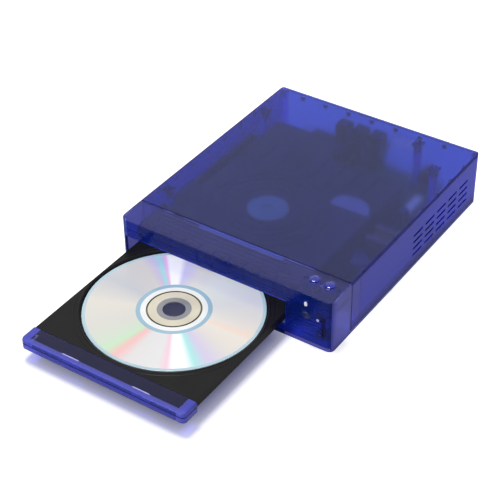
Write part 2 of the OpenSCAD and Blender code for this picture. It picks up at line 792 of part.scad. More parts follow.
module tray() {
    at_origin() color("#101012") difference() {
        union() {
            difference() {
                union() {
                    span([tray_left, shoulder_y, tray_z], [tray_right, tray_back_y, tray_top_z]);
                    span([tray_left + tab_inset, tray_front_y, tray_z],
                         [tray_right - tab_inset, shoulder_y + eps, tray_top_z]);
                }
                span([tray_left + tray_wall_t, shoulder_y + tray_wall_t, tray_z - 1],
                     [tray_right - tray_wall_t, tray_back_y + 1, tray_under_z]);
                span([tray_left + tab_inset + tray_wall_t, tray_front_y + tray_wall_t, tray_z - 1],
                     [tray_right - tab_inset - tray_wall_t, shoulder_y + tray_wall_t + eps, tray_under_z]);
            }
            rack();
        }
        span([tray_left - 1, tray_front_y - 1, tray_front_top_z],
             [tray_right + 1, door_front_y + door_d + 0.3, tray_top_z + 1]);
        for (x = notch_x) span([x, tray_front_y - 1, tray_z - 1],
                               [x + notch_w, tray_front_y + 1.2, tray_top_z + 1]);
        translate([tray_x, disc_y, 0]) {
            translate([0, 0, recess_z]) cylinder(r = disc_dia / 2 + recess_gap, h = recess_depth + 1);
            translate([0, 0, tray_top_z - 0.8])
                cylinder(r1 = disc_dia / 2 + recess_gap, r2 = disc_dia / 2 + recess_gap + 1, h = 0.8 + eps);
            translate([0, 0, recess_z - 0.9]) cylinder(r = 40.8, h = 2);
            translate([0, 0, tray_under_z - 1]) cylinder(r = tray_slot_w / 2, h = tray_h + 1);
        }
        span([tray_x - tray_slot_w / 2, disc_y, tray_z - 1],
             [tray_x + tray_slot_w / 2, tray_back_y - 5, tray_top_z + 1]);
        span([tray_x - tray_slot_w / 2, tray_back_y - 5 - eps, tray_z - 1],
             [tray_x + tray_slot_w / 2, tray_back_y + 1, tray_top_z - 2.2]);
    }
}

// Section of the door: front wall, and a top that laps over the tray
module door_section() {
    y = door_front_y;
    z = door_top_z;
    polygon([[y, door_z + 0.8], [y, z - 1.9], [y + 0.5, z - 0.9], [y + 1.3, z - 0.3], [y + 3.5, z],
        [y + door_d, z], [y + door_d, z - door_t], [y + 2.6, z - door_t], [y + 2.4, z - door_t - 0.4],
        [y + 2.4, door_z], [y + 0.8, door_z]]);
}

module tray_door() {
    at_origin() color("royalblue", 0.6) {
        drawn_x(door_left, door_right) door_section();
        for (x = [door_left, door_right - door_t])
            span([x, door_front_y + 2.4 - eps, tray_z],
                 [x + door_t, door_front_y + door_d, door_top_z - door_t + eps]);
    }
}

module disc() {
    at_origin() color("gainsboro") translate([tray_x, disc_y, disc_z]) difference() {
        cylinder(r = disc_dia / 2, h = disc_t);
        translate([0, 0, -1]) cylinder(r = disc_hole_dia / 2, h = disc_t + 2);
        translate([0, 0, disc_t - 0.12]) difference() {
            cylinder(r = 17.6, h = 1);
            translate([0, 0, -1]) cylinder(r = 17, h = 3);
        }
    }
}

// ---------------------------------------------------------------- traverse deck

module on_deck() {
    translate([0, pivot_y, pivot_z]) rotate([deck_drop, 0, 0]) translate([0, -pivot_y, -pivot_z]) children();
}

cam_z = frame_floor_z + 0.2;
cam_top_z = tray_under_z - 0.4;
cam_left = pin_x[0] - 5;
cam_right = pin_x[1] + cam_travel + 4;
cam_slot_w = 2 * (pin_r + slide_gap);

// One slanted slot, from the low pin to the high pin
module cam_slot(x) {
    low = pin_z - pin_drop;
    slope = atan((pin_z - low) / cam_travel);
    length = cam_travel / cos(slope);
    translate([x, cam_y - 1, low]) rotate([0, -slope, 0]) {
        translate([0, 0, -cam_slot_w / 2]) cube([length, cam_t + 2, cam_slot_w]);
        for (s = [0, length])
            translate([s, 0, 0]) rotate([-90, 0, 0]) cylinder(r = cam_slot_w / 2, h = cam_t + 2);
    }
}

module lift_cam() {
    at_origin() color("white") difference() {
        span([cam_left, cam_y, cam_z], [cam_right, cam_y + cam_t, cam_top_z]);
        for (x = pin_x) cam_slot(x);
    }
}

motor_boss_r = 4;

module deck_plate() {
    at_origin() on_deck() color("silver") difference() {
        union() {
            difference() {
                span([deck_left, deck_front_y, deck_z], [deck_right, deck_back_y, deck_top_z]);
                span([window_left, window_front_y, deck_z - 1], [window_right, window_back_y, deck_top_z + 1]);
            }
            for (x = pin_x) {
                span([x - 3, deck_front_y, deck_top_z - eps], [x + 3, deck_front_y + 1.5, pin_z + 1]);
                bar_y(x, pin_z, pin_r, cam_y - 0.4, deck_front_y + 1);
            }
            span([screw_x - 3, window_front_y - 4, screw_z - 2], [screw_x + 3, window_front_y, screw_z + 2.2]);
            for (x = [deck_left, deck_right - 4])
                span([x, pivot_y - 2.6, pivot_z - 2], [x + 4, deck_back_y, deck_z + eps]);
            bar_x(pivot_y, pivot_z, pivot_r, deck_left - 2.3 - ear_t, deck_left + eps);
            bar_x(pivot_y, pivot_z, pivot_r, deck_right - eps, deck_right + 2.3 + ear_t);
        }
        post(tray_x, spindle_y, motor_boss_r, deck_z - 1, deck_top_z + 1);
        bar_y(screw_x, screw_z, 0.7 + post_play, window_front_y - 5, window_front_y + 1);
        for (x = rod_x) bar_y(x, rod_z, rod_r, window_front_y - 3, pivot_y);
    }
}

module spindle_motor() {
    at_origin() on_deck() color("dimgray") translate([tray_x, spindle_y, 0]) difference() {
        union() {
            translate([0, 0, deck_z - 2]) cylinder(r = 9.5, h = 2);
            translate([0, 0, deck_z - eps]) cylinder(r = motor_boss_r, h = deck_t + 0.1);
        }
        translate([0, 0, deck_z - 1.8]) cylinder(r = spindle_r + post_play, h = 6);
    }
}

rotor_z = deck_top_z + 0.4;
turntable_top_z = disc_z - 0.3;
pad_h = 0.5;
pad_r = [9.5, turntable_r - 0.6];

module turntable() {
    at_origin() on_deck() color("#2a2a2e") translate([tray_x, spindle_y, 0]) {
        difference() {
            union() {
                translate([0, 0, rotor_z]) cylinder(r = 11, h = turntable_top_z - rotor_z);
                translate([0, 0, turntable_top_z - 2.4]) cylinder(r = turntable_r, h = 2.4);
                translate([0, 0, turntable_top_z - eps]) cylinder(r1 = cone_r, r2 = cone_r - 1, h = 2.2);
            }
            translate([0, 0, turntable_top_z - pad_h]) difference() {
                cylinder(r = pad_r[1], h = 1);
                translate([0, 0, -1]) cylinder(r = pad_r[0], h = 3);
            }
        }
        translate([0, 0, deck_z - 1.5]) cylinder(r = spindle_r, h = rotor_z - deck_z + 1.5 + eps);
    }
}

module turntable_pad() {
    at_origin() on_deck() color("black") translate([tray_x, spindle_y, turntable_top_z - pad_h]) difference() {
        cylinder(r = pad_r[1], h = pad_h);
        translate([0, 0, -1]) cylinder(r = pad_r[0], h = pad_h + 2);
    }
}

module guide_rods() {
    at_origin() on_deck() color("gainsboro")
        for (x = rod_x) bar_y(x, rod_z, rod_r, window_front_y - 3, pivot_y);
}

lens_r = 3.2;

module pickup_sled() {
    front = sled_y - sled_front;
    back = sled_y + sled_back;
    at_origin() on_deck() color("#3a3a40") difference() {
        union() {
            span([rod_x[0] - 2.6, front, deck_z - 0.8], [rod_x[1] + 2.6, back, rod_z + rod_r + 0.9]);
            span([screw_x + 1.5, front + 1, screw_z - 0.8], [rod_x[0] - 2, front + 5, screw_z + 1.6]);
        }
        bar_y(rod_x[0], rod_z, rod_r + post_play, front - 1, back + 1);
        span([rod_x[1] - rod_r - post_play, front - 1, rod_z - rod_r - post_play],
             [rod_x[1] + 5, back + 1, rod_z + rod_r + post_play]);
        post(tray_x, sled_y, lens_r + 0.1, rod_z, rod_z + 5);
    }
}

module pickup_lens() {
    at_origin() on_deck() color("cornflowerblue") translate([tray_x, sled_y, rod_z]) {
        cylinder(r = lens_r, h = rod_r + 1.4);
        translate([0, 0, rod_r + 1.4 - eps]) cylinder(r1 = 2.2, r2 = 1.2, h = 0.7);
    }
}

module sled_motor() {
    flange_y = sled_motor_y - 1.2;
    at_origin() on_deck() color("silver") difference() {
        union() {
            bar_y(screw_x, screw_z, sled_motor_r, sled_motor_y - eps, sled_motor_y + 12);
            span([screw_x - 4.4, flange_y, screw_z - 3], [screw_x + 4.4, sled_motor_y, screw_z + 3.2]);
            span([window_left - 4, flange_y, deck_top_z], [screw_x, sled_motor_y, screw_z + 3.2]);
        }
        bar_y(screw_x, screw_z, 0.7 + post_play, flange_y - 1, sled_motor_y + 5);
    }
}

// The lead screw: a shaft with thread ridges, turned about its own axis
module lead_screw() {
    y0 = window_front_y + 0.3;
    length = sled_motor_y - 1.5 - y0;
    ridge = screw_lead / 2;
    ridges = floor((length - 1) / ridge);
    at_origin() on_deck() color("gainsboro") {
        translate([screw_x, y0, screw_z]) rotate([-90, 0, 0]) rotate_extrude()
            polygon(concat([[0, 0], [0.9, 0]],
                [for (i = [0:ridges - 1]) for (p = [[0.9, 0.2], [1.2, 0.4], [1.2, 0.6], [0.9, 0.8]])
                    [p[0], (i + p[1]) * ridge]],
                [[0.9, length], [0, length]]));
        bar_y(screw_x, screw_z, 0.7, window_front_y - 3.6, y0 + eps);
        bar_y(screw_x, screw_z, 0.7, sled_motor_y - 1.6, sled_motor_y + 4);
    }
}

// ---------------------------------------------------------------- boards and sockets

module main_board() {
    at_origin() color("#14532d") difference() {
        span([main_board_left, main_board_front, board_z], [main_board_right, main_board_back, board_top_z]);
        for (p = main_holes) post(p[0], p[1], screw_hole_r, board_z - 1, board_top_z + 1);
    }
}

module board_chips() {
    x = main_board_left;
    y = main_board_front + 6.2;
    zone = main_board_back - jack_body_d - y - 0.3;
    at_origin() color("#202024") {
        span([x + 12, y + 0.22 * zone, board_top_z], [x + 26, y + 0.76 * zone, board_top_z + 1.6]);
        span([x + 64, y, board_top_z], [x + 72, y + 0.45 * zone, board_top_z + 1.2]);
        for (i = [0:2])
            span([x + 12 + i * 5.5, y + 0.82 * zone, board_top_z],
                 [x + 16 + i * 5.5, y + 0.95 * zone, board_top_z + 1.4]);
        span([x + 46, y - 2, board_top_z], [x + 56, y + 1, board_top_z + 4]);
    }
}

can_t = 0.6;
fin_gap = 1.4;
fin_h = frame_top_z - board_top_z - can_h - fin_gap;
fin_count = 9;
fin_t = 1.4;
fin_pitch = (can_w - fin_t) / (fin_count - 1);

// Screening can over the decoder
module shield_can() {
    at_origin() color("silver") difference() {
        span([can_left, can_front, board_top_z], [can_left + can_w, can_front + can_d, board_top_z + can_h]);
        span([can_left + can_t, can_front + can_t, board_top_z - 1],
             [can_left + can_w - can_t, can_front + can_d - can_t, board_top_z + can_h - can_t]);
        for (i = [1:5], j = [1:3])
            post(can_left + i * can_w / 6, can_front + j * can_d / 4, 1,
                 board_top_z + can_h - 1, board_top_z + can_h + 1);
    }
}

module heat_sink() {
    z = board_top_z + can_h;
    plate_t = 2;
    at_origin() color("#1b1b1e") {
        span([can_left, can_front, z], [can_left + can_w, can_front + can_d, z + plate_t]);
        for (i = [0:fin_count - 1]) translate([can_left + i * fin_pitch, 0, 0])
            span([0, can_front, z + plate_t - eps], [fin_t, can_front + can_d, z + fin_h]);
    }
}

// A can capacitor standing on a board
module capacitor(x, y, r, h) {
    post(x, y, r, board_top_z, board_top_z + h);
}

module board_capacitors() {
    at_origin() color("#26262b") {
        for (i = [0:3]) capacitor(main_board_left + 10 + i * 9, main_board_front + 3.5, 2.5, 7);
        for (i = [0:2]) capacitor(inlet_x - 9 - i * 8, main_board_front + 4, 3, 9);
    }
}

module av_jacks() {
    body_front = main_board_back - jack_body_d;
    body_half_w = 5;
    neck_r = jack_r - 0.9;
    pin_hole_r = 1.7;
    at_origin() color("gold") for (x = jack_x) difference() {
        union() {
            span([x - body_half_w, body_front, board_top_z],
                 [x + body_half_w, housing_d - wall_t - 0.1, board_top_z + jack_body_h]);
            bar_y(x, jack_z, neck_r, housing_d - wall_t - 0.2, housing_d + eps);
            bar_y(x, jack_z, jack_r, housing_d, rear_y);
        }
        bar_y(x, jack_z, pin_hole_r, housing_d - 2, rear_y + 1);
    }
}

module video_socket() {
    y0 = housing_d - 12;
    z = board_top_z;
    at_origin() color("silver") difference() {
        span([video_x - video_w / 2 - 1, y0, z], [video_x + video_w / 2 + 1, housing_d - 0.2, z + video_h + 2]);
        span([video_x - video_w / 2, y0 + 2, z + 1], [video_x + video_w / 2, housing_d + 1, z + 1 + video_h]);
    }
}

module power_inlet() {
    y0 = housing_d - 14;
    at_origin() color("#1b1b1e") {
        difference() {
            union() {
                span([inlet_x - 4.5, y0, board_top_z], [inlet_x + 4.5, housing_d - wall_t - 0.1, inlet_z + 5]);
                bar_y(inlet_x, inlet_z, 4, housing_d - wall_t - 0.2, housing_d - 0.1);
            }
            bar_y(inlet_x, inlet_z, 2.8, y0 + 2, housing_d + 1);
        }
        bar_y(inlet_x, inlet_z, 1, y0 + 2 - eps, housing_d - 2);
    }
}

module power_board() {
    at_origin() color("#14532d") difference() {
        span([power_board_left, power_board_front, board_z],
             [power_board_right, power_board_back, board_top_z]);
        for (p = power_holes) post(p[0], p[1], screw_hole_r, board_z - 1, board_top_z + 1);
    }
}

transformer_h = 18;
transformer_back = 44;
core_t = 5;
coil_d = 8;

module transformer() {
    x0 = power_board_left + 3;
    x1 = power_board_right - 5.4;
    y = power_board_back - transformer_back - 2 * core_t - coil_d;
    top = board_top_z + transformer_h;
    at_origin() {
        color("#2b2b30") for (i = [0, 1]) translate([0, y + i * (core_t + coil_d), 0])
            span([x0, 0, board_top_z], [x1, core_t, top]);
        color("goldenrod") span([x0 + 2, y + core_t - 1, board_top_z + 2],
                                [x1 - 2, y + core_t + coil_d + 1, top - 2]);
    }
}

big_r = 6.5;
small_r = 4;
cap_margin = 1.5;

module power_capacitors() {
    left_x = power_board_left + small_r + cap_margin;
    right_x = power_board_right - small_r - cap_margin;
    big_y = power_board_front + 24;
    small_y = big_y + big_r + small_r + 3.5;
    at_origin() color("#20242c") {
        capacitor((left_x + right_x) / 2, big_y, big_r, 20);
        for (x = [left_x, right_x]) capacitor(x, small_y, small_r, 12);
        capacitor(left_x + 2.5, power_board_back - 16, small_r, 14);
    }
}

module board_screws() {
    at_origin() color("silver") for (p = concat(main_holes, power_holes))
        translate([p[0], p[1], board_top_z + 1.3]) rotate([180, 0, 0])
            screw([0, 0, 0], screw_head_r - 0.3, 1.3, screw_shank_r, board_t + 1.2);
}

// Flat ribbon between the two boards: up from one header, across, and down to the other
module board_ribbon() {
    y0 = power_board_back - 10;
    y1 = main_board_front + 10;
    h = board_top_z + 6;
    ribbon_t = 0.5;
    at_origin() color("gainsboro") drawn_x(power_board_left + 1, main_board_right - 1) polygon([
        [y0, board_top_z], [y0 + ribbon_t, board_top_z], [y0 + ribbon_t, h - ribbon_t],
        [y1 - ribbon_t, h - ribbon_t], [y1 - ribbon_t, board_top_z], [y1, board_top_z], [y1, h], [y0, h]]);
}

// ---------------------------------------------------------------- front controls

control_left = button_x[0] - 9.5;
control_right = half_w - wall_t - 1.5;
control_front = wall_t + 1;
control_back = front_d - 2.4;

module control_board() {
    at_origin() color("#14532d")
        span([control_left, control_front, control_board_z], [control_right, control_back, control_top_z]);
}

switch_h = 3.6;
plunger_h = 0.8;
cap_gap = button_travel + 0.2;

module tact_switches() {
    at_origin() color("#26262b") for (x = button_x) {
        span([x - 3, button_y - 3, control_top_z], [x + 3, button_y + 3, control_top_z + switch_h]);
        post(x, button_y, 1.6, control_top_z + switch_h - eps, control_top_z + switch_h + plunger_h);
    }
}

// A domed cap on a stem, with a flange that keeps it under the roof
module button(x) {
    r = button_dia / 2;
    under = strip_z - wall_t - 1.1;
    stem_z = control_top_z + switch_h + plunger_h + cap_gap;
    dome_h = 0.8;
    dome_r = (r * r + dome_h * dome_h) / (2 * dome_h);
    top = strip_z + button_rise;
    post(x, button_y, 1.6, stem_z, under + eps);
    post(x, button_y, r + 1, under, under + 0.8);
    post(x, button_y, r, under, top - dome_h);
    translate([x, button_y, top - dome_r]) intersection() {
        sphere(r = dome_r, $fn = 96);
        translate([0, 0, dome_r - dome_h - eps]) cylinder(r = r, h = dome_h + 1);
    }
}

module power_button() { at_origin() color("slateblue") button(button_x[0]); }

module eject_button() { at_origin() color("slateblue") button(button_x[1]); }

module status_led() {
    at_origin() color("white") {
        span([led_x - 1, -0.2, led_z - 1.7], [led_x + 1, wall_t + 2, led_z + 1.7]);
        span([led_x - 1.6, wall_t + 2 - eps, control_top_z], [led_x + 1.6, wall_t + 5, led_z + 1.9]);
    }
}

module ir_receiver() {
    at_origin() color("#2a2a44") {
        bar_y(led_x, ir_z, ir_r, 0, wall_t + 2.4);
        span([led_x - 3.4, wall_t + 2.3, ir_z - 3.4], [led_x + 3.4, wall_t + 6, control_board_z]);
    }
}

base_cover();
top_cover();
front_panel();
rear_panel();
rubber_feet();
case_screws();
loader_frame();
loader_top_plate();
loader_screws();
clamp_puck();
clamp_ring();
load_motor();
motor_pulley();
drive_belt();
belt_wheel();
drive_gear();
tray();
tray_door();
disc();
lift_cam();
deck_plate();
spindle_motor();
turntable();
turntable_pad();
guide_rods();
pickup_sled();
pickup_lens();
sled_motor();
lead_screw();
main_board();
board_chips();
heat_sink();
shield_can();
board_capacitors();
av_jacks();
video_socket();
power_inlet();
power_board();
transformer();
power_capacitors();
board_screws();
board_ribbon();
control_board();
tact_switches();
status_led();
ir_receiver();
power_button();
eject_button();
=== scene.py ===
"""Looks of a compact disc player in clear blue plastic, with its loading tray open.

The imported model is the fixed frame. Finishes are made from shader nodes, a dresser puts them on the
frame's nodes, and each sub-assembly is a class that builds the detailed pieces of its own.
"""

import logging
import math
from collections.abc import Iterable
from dataclasses import dataclass
from enum import Enum

import bmesh
import bpy
import numpy as np
from mathutils import Matrix, Vector


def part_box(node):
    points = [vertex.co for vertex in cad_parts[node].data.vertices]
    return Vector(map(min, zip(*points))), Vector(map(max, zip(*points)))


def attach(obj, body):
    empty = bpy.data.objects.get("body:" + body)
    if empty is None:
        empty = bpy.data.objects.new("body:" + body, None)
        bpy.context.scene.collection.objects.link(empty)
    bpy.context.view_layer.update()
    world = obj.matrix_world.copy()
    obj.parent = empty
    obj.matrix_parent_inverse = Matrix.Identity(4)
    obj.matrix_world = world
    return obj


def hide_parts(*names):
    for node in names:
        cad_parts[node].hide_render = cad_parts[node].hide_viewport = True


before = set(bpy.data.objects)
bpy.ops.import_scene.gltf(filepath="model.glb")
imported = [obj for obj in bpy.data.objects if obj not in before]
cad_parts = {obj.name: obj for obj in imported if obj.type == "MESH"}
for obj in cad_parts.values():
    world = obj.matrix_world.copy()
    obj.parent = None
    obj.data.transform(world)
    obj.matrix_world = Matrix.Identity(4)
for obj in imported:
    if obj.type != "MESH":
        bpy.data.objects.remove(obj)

LOG = logging.getLogger("disc_player")
MM = 0.001
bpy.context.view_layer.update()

Tree, Node, Socket = bpy.types.NodeTree, bpy.types.Node, bpy.types.NodeSocket
Source = Node | Socket
Finishes = dict[str, bpy.types.Material]
Faces = list[tuple[int, ...]]
Span = tuple[float, float]
Place = tuple[float, float, float]

WHITE = "#FFFFFF"
BLACK = "#000000"


# ---------------------------------------------------------------- colour and nodes


def linear(hex_colour: str) -> tuple[float, float, float, float]:
    """Turns an sRGB hex colour into the linear colour that a shader takes.

    Args:
        hex_colour: Six hex digits after a hash.

    Returns:
        Red, green and blue in linear light, then one.
    """
    channels = [int(hex_colour[i : i + 2], 16) / 255 for i in (1, 3, 5)]
    curve = [c / 12.92 if c <= 0.04045 else ((c + 0.055) / 1.055) ** 2.4 for c in channels]
    return (curve[0], curve[1], curve[2], 1.0)


def add_node(tree: Tree, kind: str, settings: dict | None = None) -> Node:
    """Adds one shader node, with its settings and its incoming links.

    Args:
        tree: Node tree of a material or the world.
        kind: Name of the node's type, without the ShaderNode before it.
        settings: Values and links by attribute, input name or input number. An output is linked to the
            input, a node stands for its first output in use, and a hex colour turns linear.

    Returns:
        The new node.
    """
    node = tree.nodes.new("ShaderNode" + kind)
    for key, value in (settings or {}).items():
        if isinstance(value, Node):
            value = next(output for output in value.outputs if output.enabled)
        elif isinstance(value, str) and value.startswith("#"):
            value = linear(value)
        if isinstance(value, Socket):
            tree.links.new(value, node.inputs[key])
        elif isinstance(key, int) or key in node.inputs:
            node.inputs[key].default_value = value
        else:
            setattr(node, key, value)
    return node


def per_metre(size_mm: float) -> float:
    """Scale of a texture whose features are size_mm across."""
    return 1 / (size_mm * MM)


def add_maths(tree: Tree, operation: str, *terms: Source | float) -> Node:
    """Adds a Math node that works on the terms in their order."""
    return add_node(tree, "Math", {"operation": operation, **dict(enumerate(terms))})


def add_vector_maths(tree: Tree, operation: str, *terms: Source | Place) -> Node:
    """Adds a Vector Math node that works on the terms in their order."""
    return add_node(tree, "VectorMath", {"operation": operation, **dict(enumerate(terms))})


def add_noise(tree: Tree, coords: Socket, size_mm: float, detail: float) -> Node:
    """Adds noise whose largest lumps are about size_mm across."""
    return add_node(tree, "TexNoise", {"Scale": per_metre(size_mm), "Detail": detail, "Vector": coords})


def add_ramp(tree: Tree, share: Source, places: Iterable[float], *colours: str) -> Node:
    """Adds a colour ramp.

    Args:
        tree: Node tree of a material.
        share: Where on the ramp, from nought to one.
        places: Place of each colour on the ramp, in rising order.
        colours: Hex colours.

    Returns:
        The ramp's node.
    """
    ramp = add_node(tree, "ValToRGB", {"Fac": share})
    elements = ramp.color_ramp.elements
    while len(elements) < len(colours):
        elements.new(0.5)
    for element, place, colour in zip(elements, places, colours):
        element.position = place
        element.color = linear(colour)
    return ramp


def add_range(tree: Tree, share: Source, start: Source | float, stop: Source | float) -> Node:
    """Adds a number that runs from start to stop as the share runs from nought to one."""
    return add_node(tree, "MapRange", {"Value": share, "To Min": start, "To Max": stop})


def add_relief(tree: Tree, height: Source, strength: float, depth: float) -> Node:
    """Adds a bump that is depth metres deep, at a strength from nought to one."""
    return add_node(tree, "Bump", {"Strength": strength, "Distance": depth, "Height": height})


def add_cover(tree: Tree, mask: Source, under: Source | str, over: Source | str) -> Node:
    """Adds a colour mix: under where the mask is nought, over where it is one.

    Args:
        tree: Node tree of a material.
        mask: Share of the colour on top.
        under: Colour below.
        over: Colour on top.

    Returns:
        The Mix node, whose colour inputs are numbers 6 and 7.
    """
    return add_node(tree, "Mix", {"data_type": "RGBA", 0: mask, 6: under, 7: over})


# ---------------------------------------------------------------- finishes


@dataclass(frozen=True)
class Finish:
    """A finish made of shader nodes. Each kind of finish has a shade method of its own."""

    name: str

    def shade(self, tree: Tree, coords: Socket) -> Node:
        """Adds the nodes of this kind of finish.

        Args:
            tree: Node tree of the finish.
            coords: Object coordinates.

        Returns:
            The surface's shader.
        """
        raise NotImplementedError

    def build(self) -> bpy.types.Material:
        """Makes the material and puts its shader on the surface.

        Returns:
            The material.
        """
        material = bpy.data.materials.new(self.name)
        material.use_nodes = True
        tree = material.node_tree
        tree.nodes.clear()
        coords = add_node(tree, "TexCoord").outputs["Object"]
        add_node(tree, "OutputMaterial", {"Surface": self.shade(tree, coords)})
        return material


class Axis(Enum):
    """Direction across, along or up through the player."""

    X = "X"
    Y = "Y"
    Z = "Z"


@dataclass(frozen=True)
class TintZone:
    """Block of a clear moulding where faces of some directions get a colour of their own: painted light or
    shade.

    Deep navy is painted shade where the eye meets a long way of plastic, as at cut-outs, ribs and lap
    joints. Pale violet is painted light where the plastic is thick and lit from inside, as in a lip or a
    rounded end.
    Places across the player are counted from the moulding's middle, so a zone holds on both sides.
    """

    x: Span
    y: Span
    z: Span
    unlike: Axis = Axis.Z
    limit: float = 0.7
    # Navy: the painted shade of most zones.
    colour: str = "#101C7C"
    clearness: float | None = None

    def mask(self, tree: Tree, place: Node, facing: Node) -> Node:
        """One inside the block on faces that don't point along one axis, nought elsewhere.

        A place is inside when the largest part of |place - middle| - half size is under nought.

        Args:
            tree: Node tree of the finish.
            place: Mirrored Object coordinates.
            facing: Separate XYZ node of the face direction's absolute parts.

        Returns:
            The node that gives the mask.
        """
        sides = (self.x, self.y, self.z)
        middle = tuple((a + b) / 2 for a, b in sides)
        half = tuple((b - a) / 2 for a, b in sides)
        offset = add_vector_maths(tree, "SUBTRACT", place, middle)
        reach = add_vector_maths(tree, "ABSOLUTE", offset)
        past = add_vector_maths(tree, "SUBTRACT", reach, half)
        parts = add_node(tree, "SeparateXYZ", {"Vector": past}).outputs
        pair = add_maths(tree, "MAXIMUM", parts["X"], parts["Y"])
        most = add_maths(tree, "MAXIMUM", pair, parts["Z"])
        inside = add_maths(tree, "LESS_THAN", most, 0.0)
        along = facing.outputs[self.unlike.value]
        turned = add_maths(tree, "LESS_THAN", along, self.limit)
        return add_maths(tree, "MULTIPLY", inside, turned)


@dataclass(frozen=True)
class TintedPolycarbonate(Finish):
    """Clear blue polycarbonate, injection moulded, polished outside and finely etched inside.

    The etched inner face blurs what lies behind it, so dark parts read as soft shapes. Faces that point
    sideways or ahead get a tint and a clearness of their own: painted light and shade by the way a face
    points, which makes upright walls glow violet. Lamps and bounced light pass with a pale tint, so light
    reaches the inside.
    """

    tint: str = "#7280E6"
    streak: str = "#6A78DC"
    # Painted light and shade: tints of faces that point sideways and ahead.
    side_tint: str = "#4E4CDC"
    face_tint: str = "#4E4CDC"
    clearness: float = 0.962
    side_clearness: float = 0.65
    face_clearness: float = 0.65
    roughness: float = 0.2
    gloss: float = 0.45
    ior: float = 1.3
    lamp_tint: str = "#F6F7FF"
    middle_x: float = 0.0
    zones: tuple[TintZone, ...] = ()
    upright: Span = (0.6, 0.8)
    streak_stops: Span = (0.3, 0.7)
    flow_mm: float = 42.0
    ripple_mm: float = 9.0
    ripple: float = 0.04
    ripple_depth: float = 0.4 * MM

    def shade(self, tree: Tree, coords: Socket) -> Node:
        """Tinted glass with faint flow streaks, and a clear tinted path for lamps and bounced light.

        Walls that face sideways, walls that face ahead and then each zone cover the colour and the
        clearness of what came before; these colours are painted light and shade.

        Args:
            tree: Node tree of the finish.
            coords: Object coordinates.

        Returns:
            The surface's shader.
        """
        normal = add_node(tree, "NewGeometry").outputs["Normal"]
        positive = add_vector_maths(tree, "ABSOLUTE", normal)
        facing = add_node(tree, "SeparateXYZ", {"Vector": positive})
        turn = {"From Min": self.upright[0], "From Max": self.upright[1]}
        sideways = add_node(tree, "MapRange", {**turn, "Value": facing.outputs["X"]})
        ahead = add_node(tree, "MapRange", {**turn, "Value": facing.outputs["Y"]})
        flow = add_noise(tree, coords, self.flow_mm, detail=2.0)
        colour = add_ramp(tree, flow, self.streak_stops, self.tint, self.streak)
        clearness = self.clearness
        # Painted light and shade by facing, then the painted zones.
        layers = [
            (sideways, self.side_tint, self.side_clearness),
            (ahead, self.face_tint, self.face_clearness),
            *self.zone_layers(tree, coords, facing),
        ]
        for mask, tint, clear in layers:
            colour = add_cover(tree, mask, colour, tint)
            if clear is not None:
                clearness = add_range(tree, mask, clearness, clear)
        waves = add_noise(tree, coords, self.ripple_mm, detail=1.0)
        bump = add_relief(tree, waves, self.ripple, self.ripple_depth)
        plastic = add_node(tree, "BsdfPrincipled", {
            "Roughness": self.roughness, "IOR": self.ior, "Specular IOR Level": self.gloss,
            "Base Color": colour, "Normal": bump, "Transmission Weight": clearness,
        })
        passed = add_node(tree, "BsdfTransparent", {"Color": self.lamp_tint})
        rays = add_node(tree, "LightPath").outputs
        unseen = add_maths(tree, "MAXIMUM", rays["Is Shadow Ray"], rays["Is Diffuse Ray"])
        return add_node(tree, "MixShader", {0: unseen, 1: plastic, 2: passed})

    def zone_layers(self, tree: Tree, coords: Socket, facing: Node) -> list[tuple[Node, str, float | None]]:
        """Adds the masks of the zones.

        Args:
            tree: Node tree of the finish.
            coords: Object coordinates.
            facing: Separate XYZ node of the face direction's absolute parts.

        Returns:
            Mask, colour and clearness of each zone.
        """
        if not self.zones:
            return []
        axes = add_node(tree, "SeparateXYZ", {"Vector": coords}).outputs
        aside = add_maths(tree, "SUBTRACT", axes["X"], self.middle_x)
        across = add_maths(tree, "ABSOLUTE", aside)
        place = add_node(tree, "CombineXYZ", {"X": across, "Y": axes["Y"], "Z": axes["Z"]})
        return [(zone.mask(tree, place, facing), zone.colour, zone.clearness) for zone in self.zones]


@dataclass(frozen=True)
class MouldedPlastic(Finish):
    """Opaque moulded plastic such as ABS or acetal, with a spark-eroded grain.

    The grain breaks up the highlight, and slow colour drift keeps large faces from looking painted.
    """

    colour: str
    drift: str
    roughness: float = 0.45
    gloss: float = 0.4
    grain_mm: float = 0.45
    grain: float = 0.15
    grain_depth: float = 0.1 * MM
    drift_mm: float = 18.0
    drift_stops: Span = (0.35, 0.68)
    rough_spread: float = 0.07
    least_rough: float = 0.03

    def shade(self, tree: Tree, coords: Socket) -> Node:
        """Base colour from slow noise, roughness and bump from fine noise.

        Args:
            tree: Node tree of the finish.
            coords: Object coordinates.

        Returns:
            The surface's shader.
        """
        slow = add_noise(tree, coords, self.drift_mm, detail=3.0)
        colour = add_ramp(tree, slow, self.drift_stops, self.colour, self.drift)
        grit = add_noise(tree, coords, self.grain_mm, detail=4.0)
        smoothest = max(self.roughness - self.rough_spread, self.least_rough)
        roughest = self.roughness + self.rough_spread
        rough = add_range(tree, grit, smoothest, roughest)
        bump = add_relief(tree, grit, self.grain, self.grain_depth)
        return add_node(tree, "BsdfPrincipled", {
            "Specular IOR Level": self.gloss, "Base Color": colour, "Roughness": rough, "Normal": bump,
        })


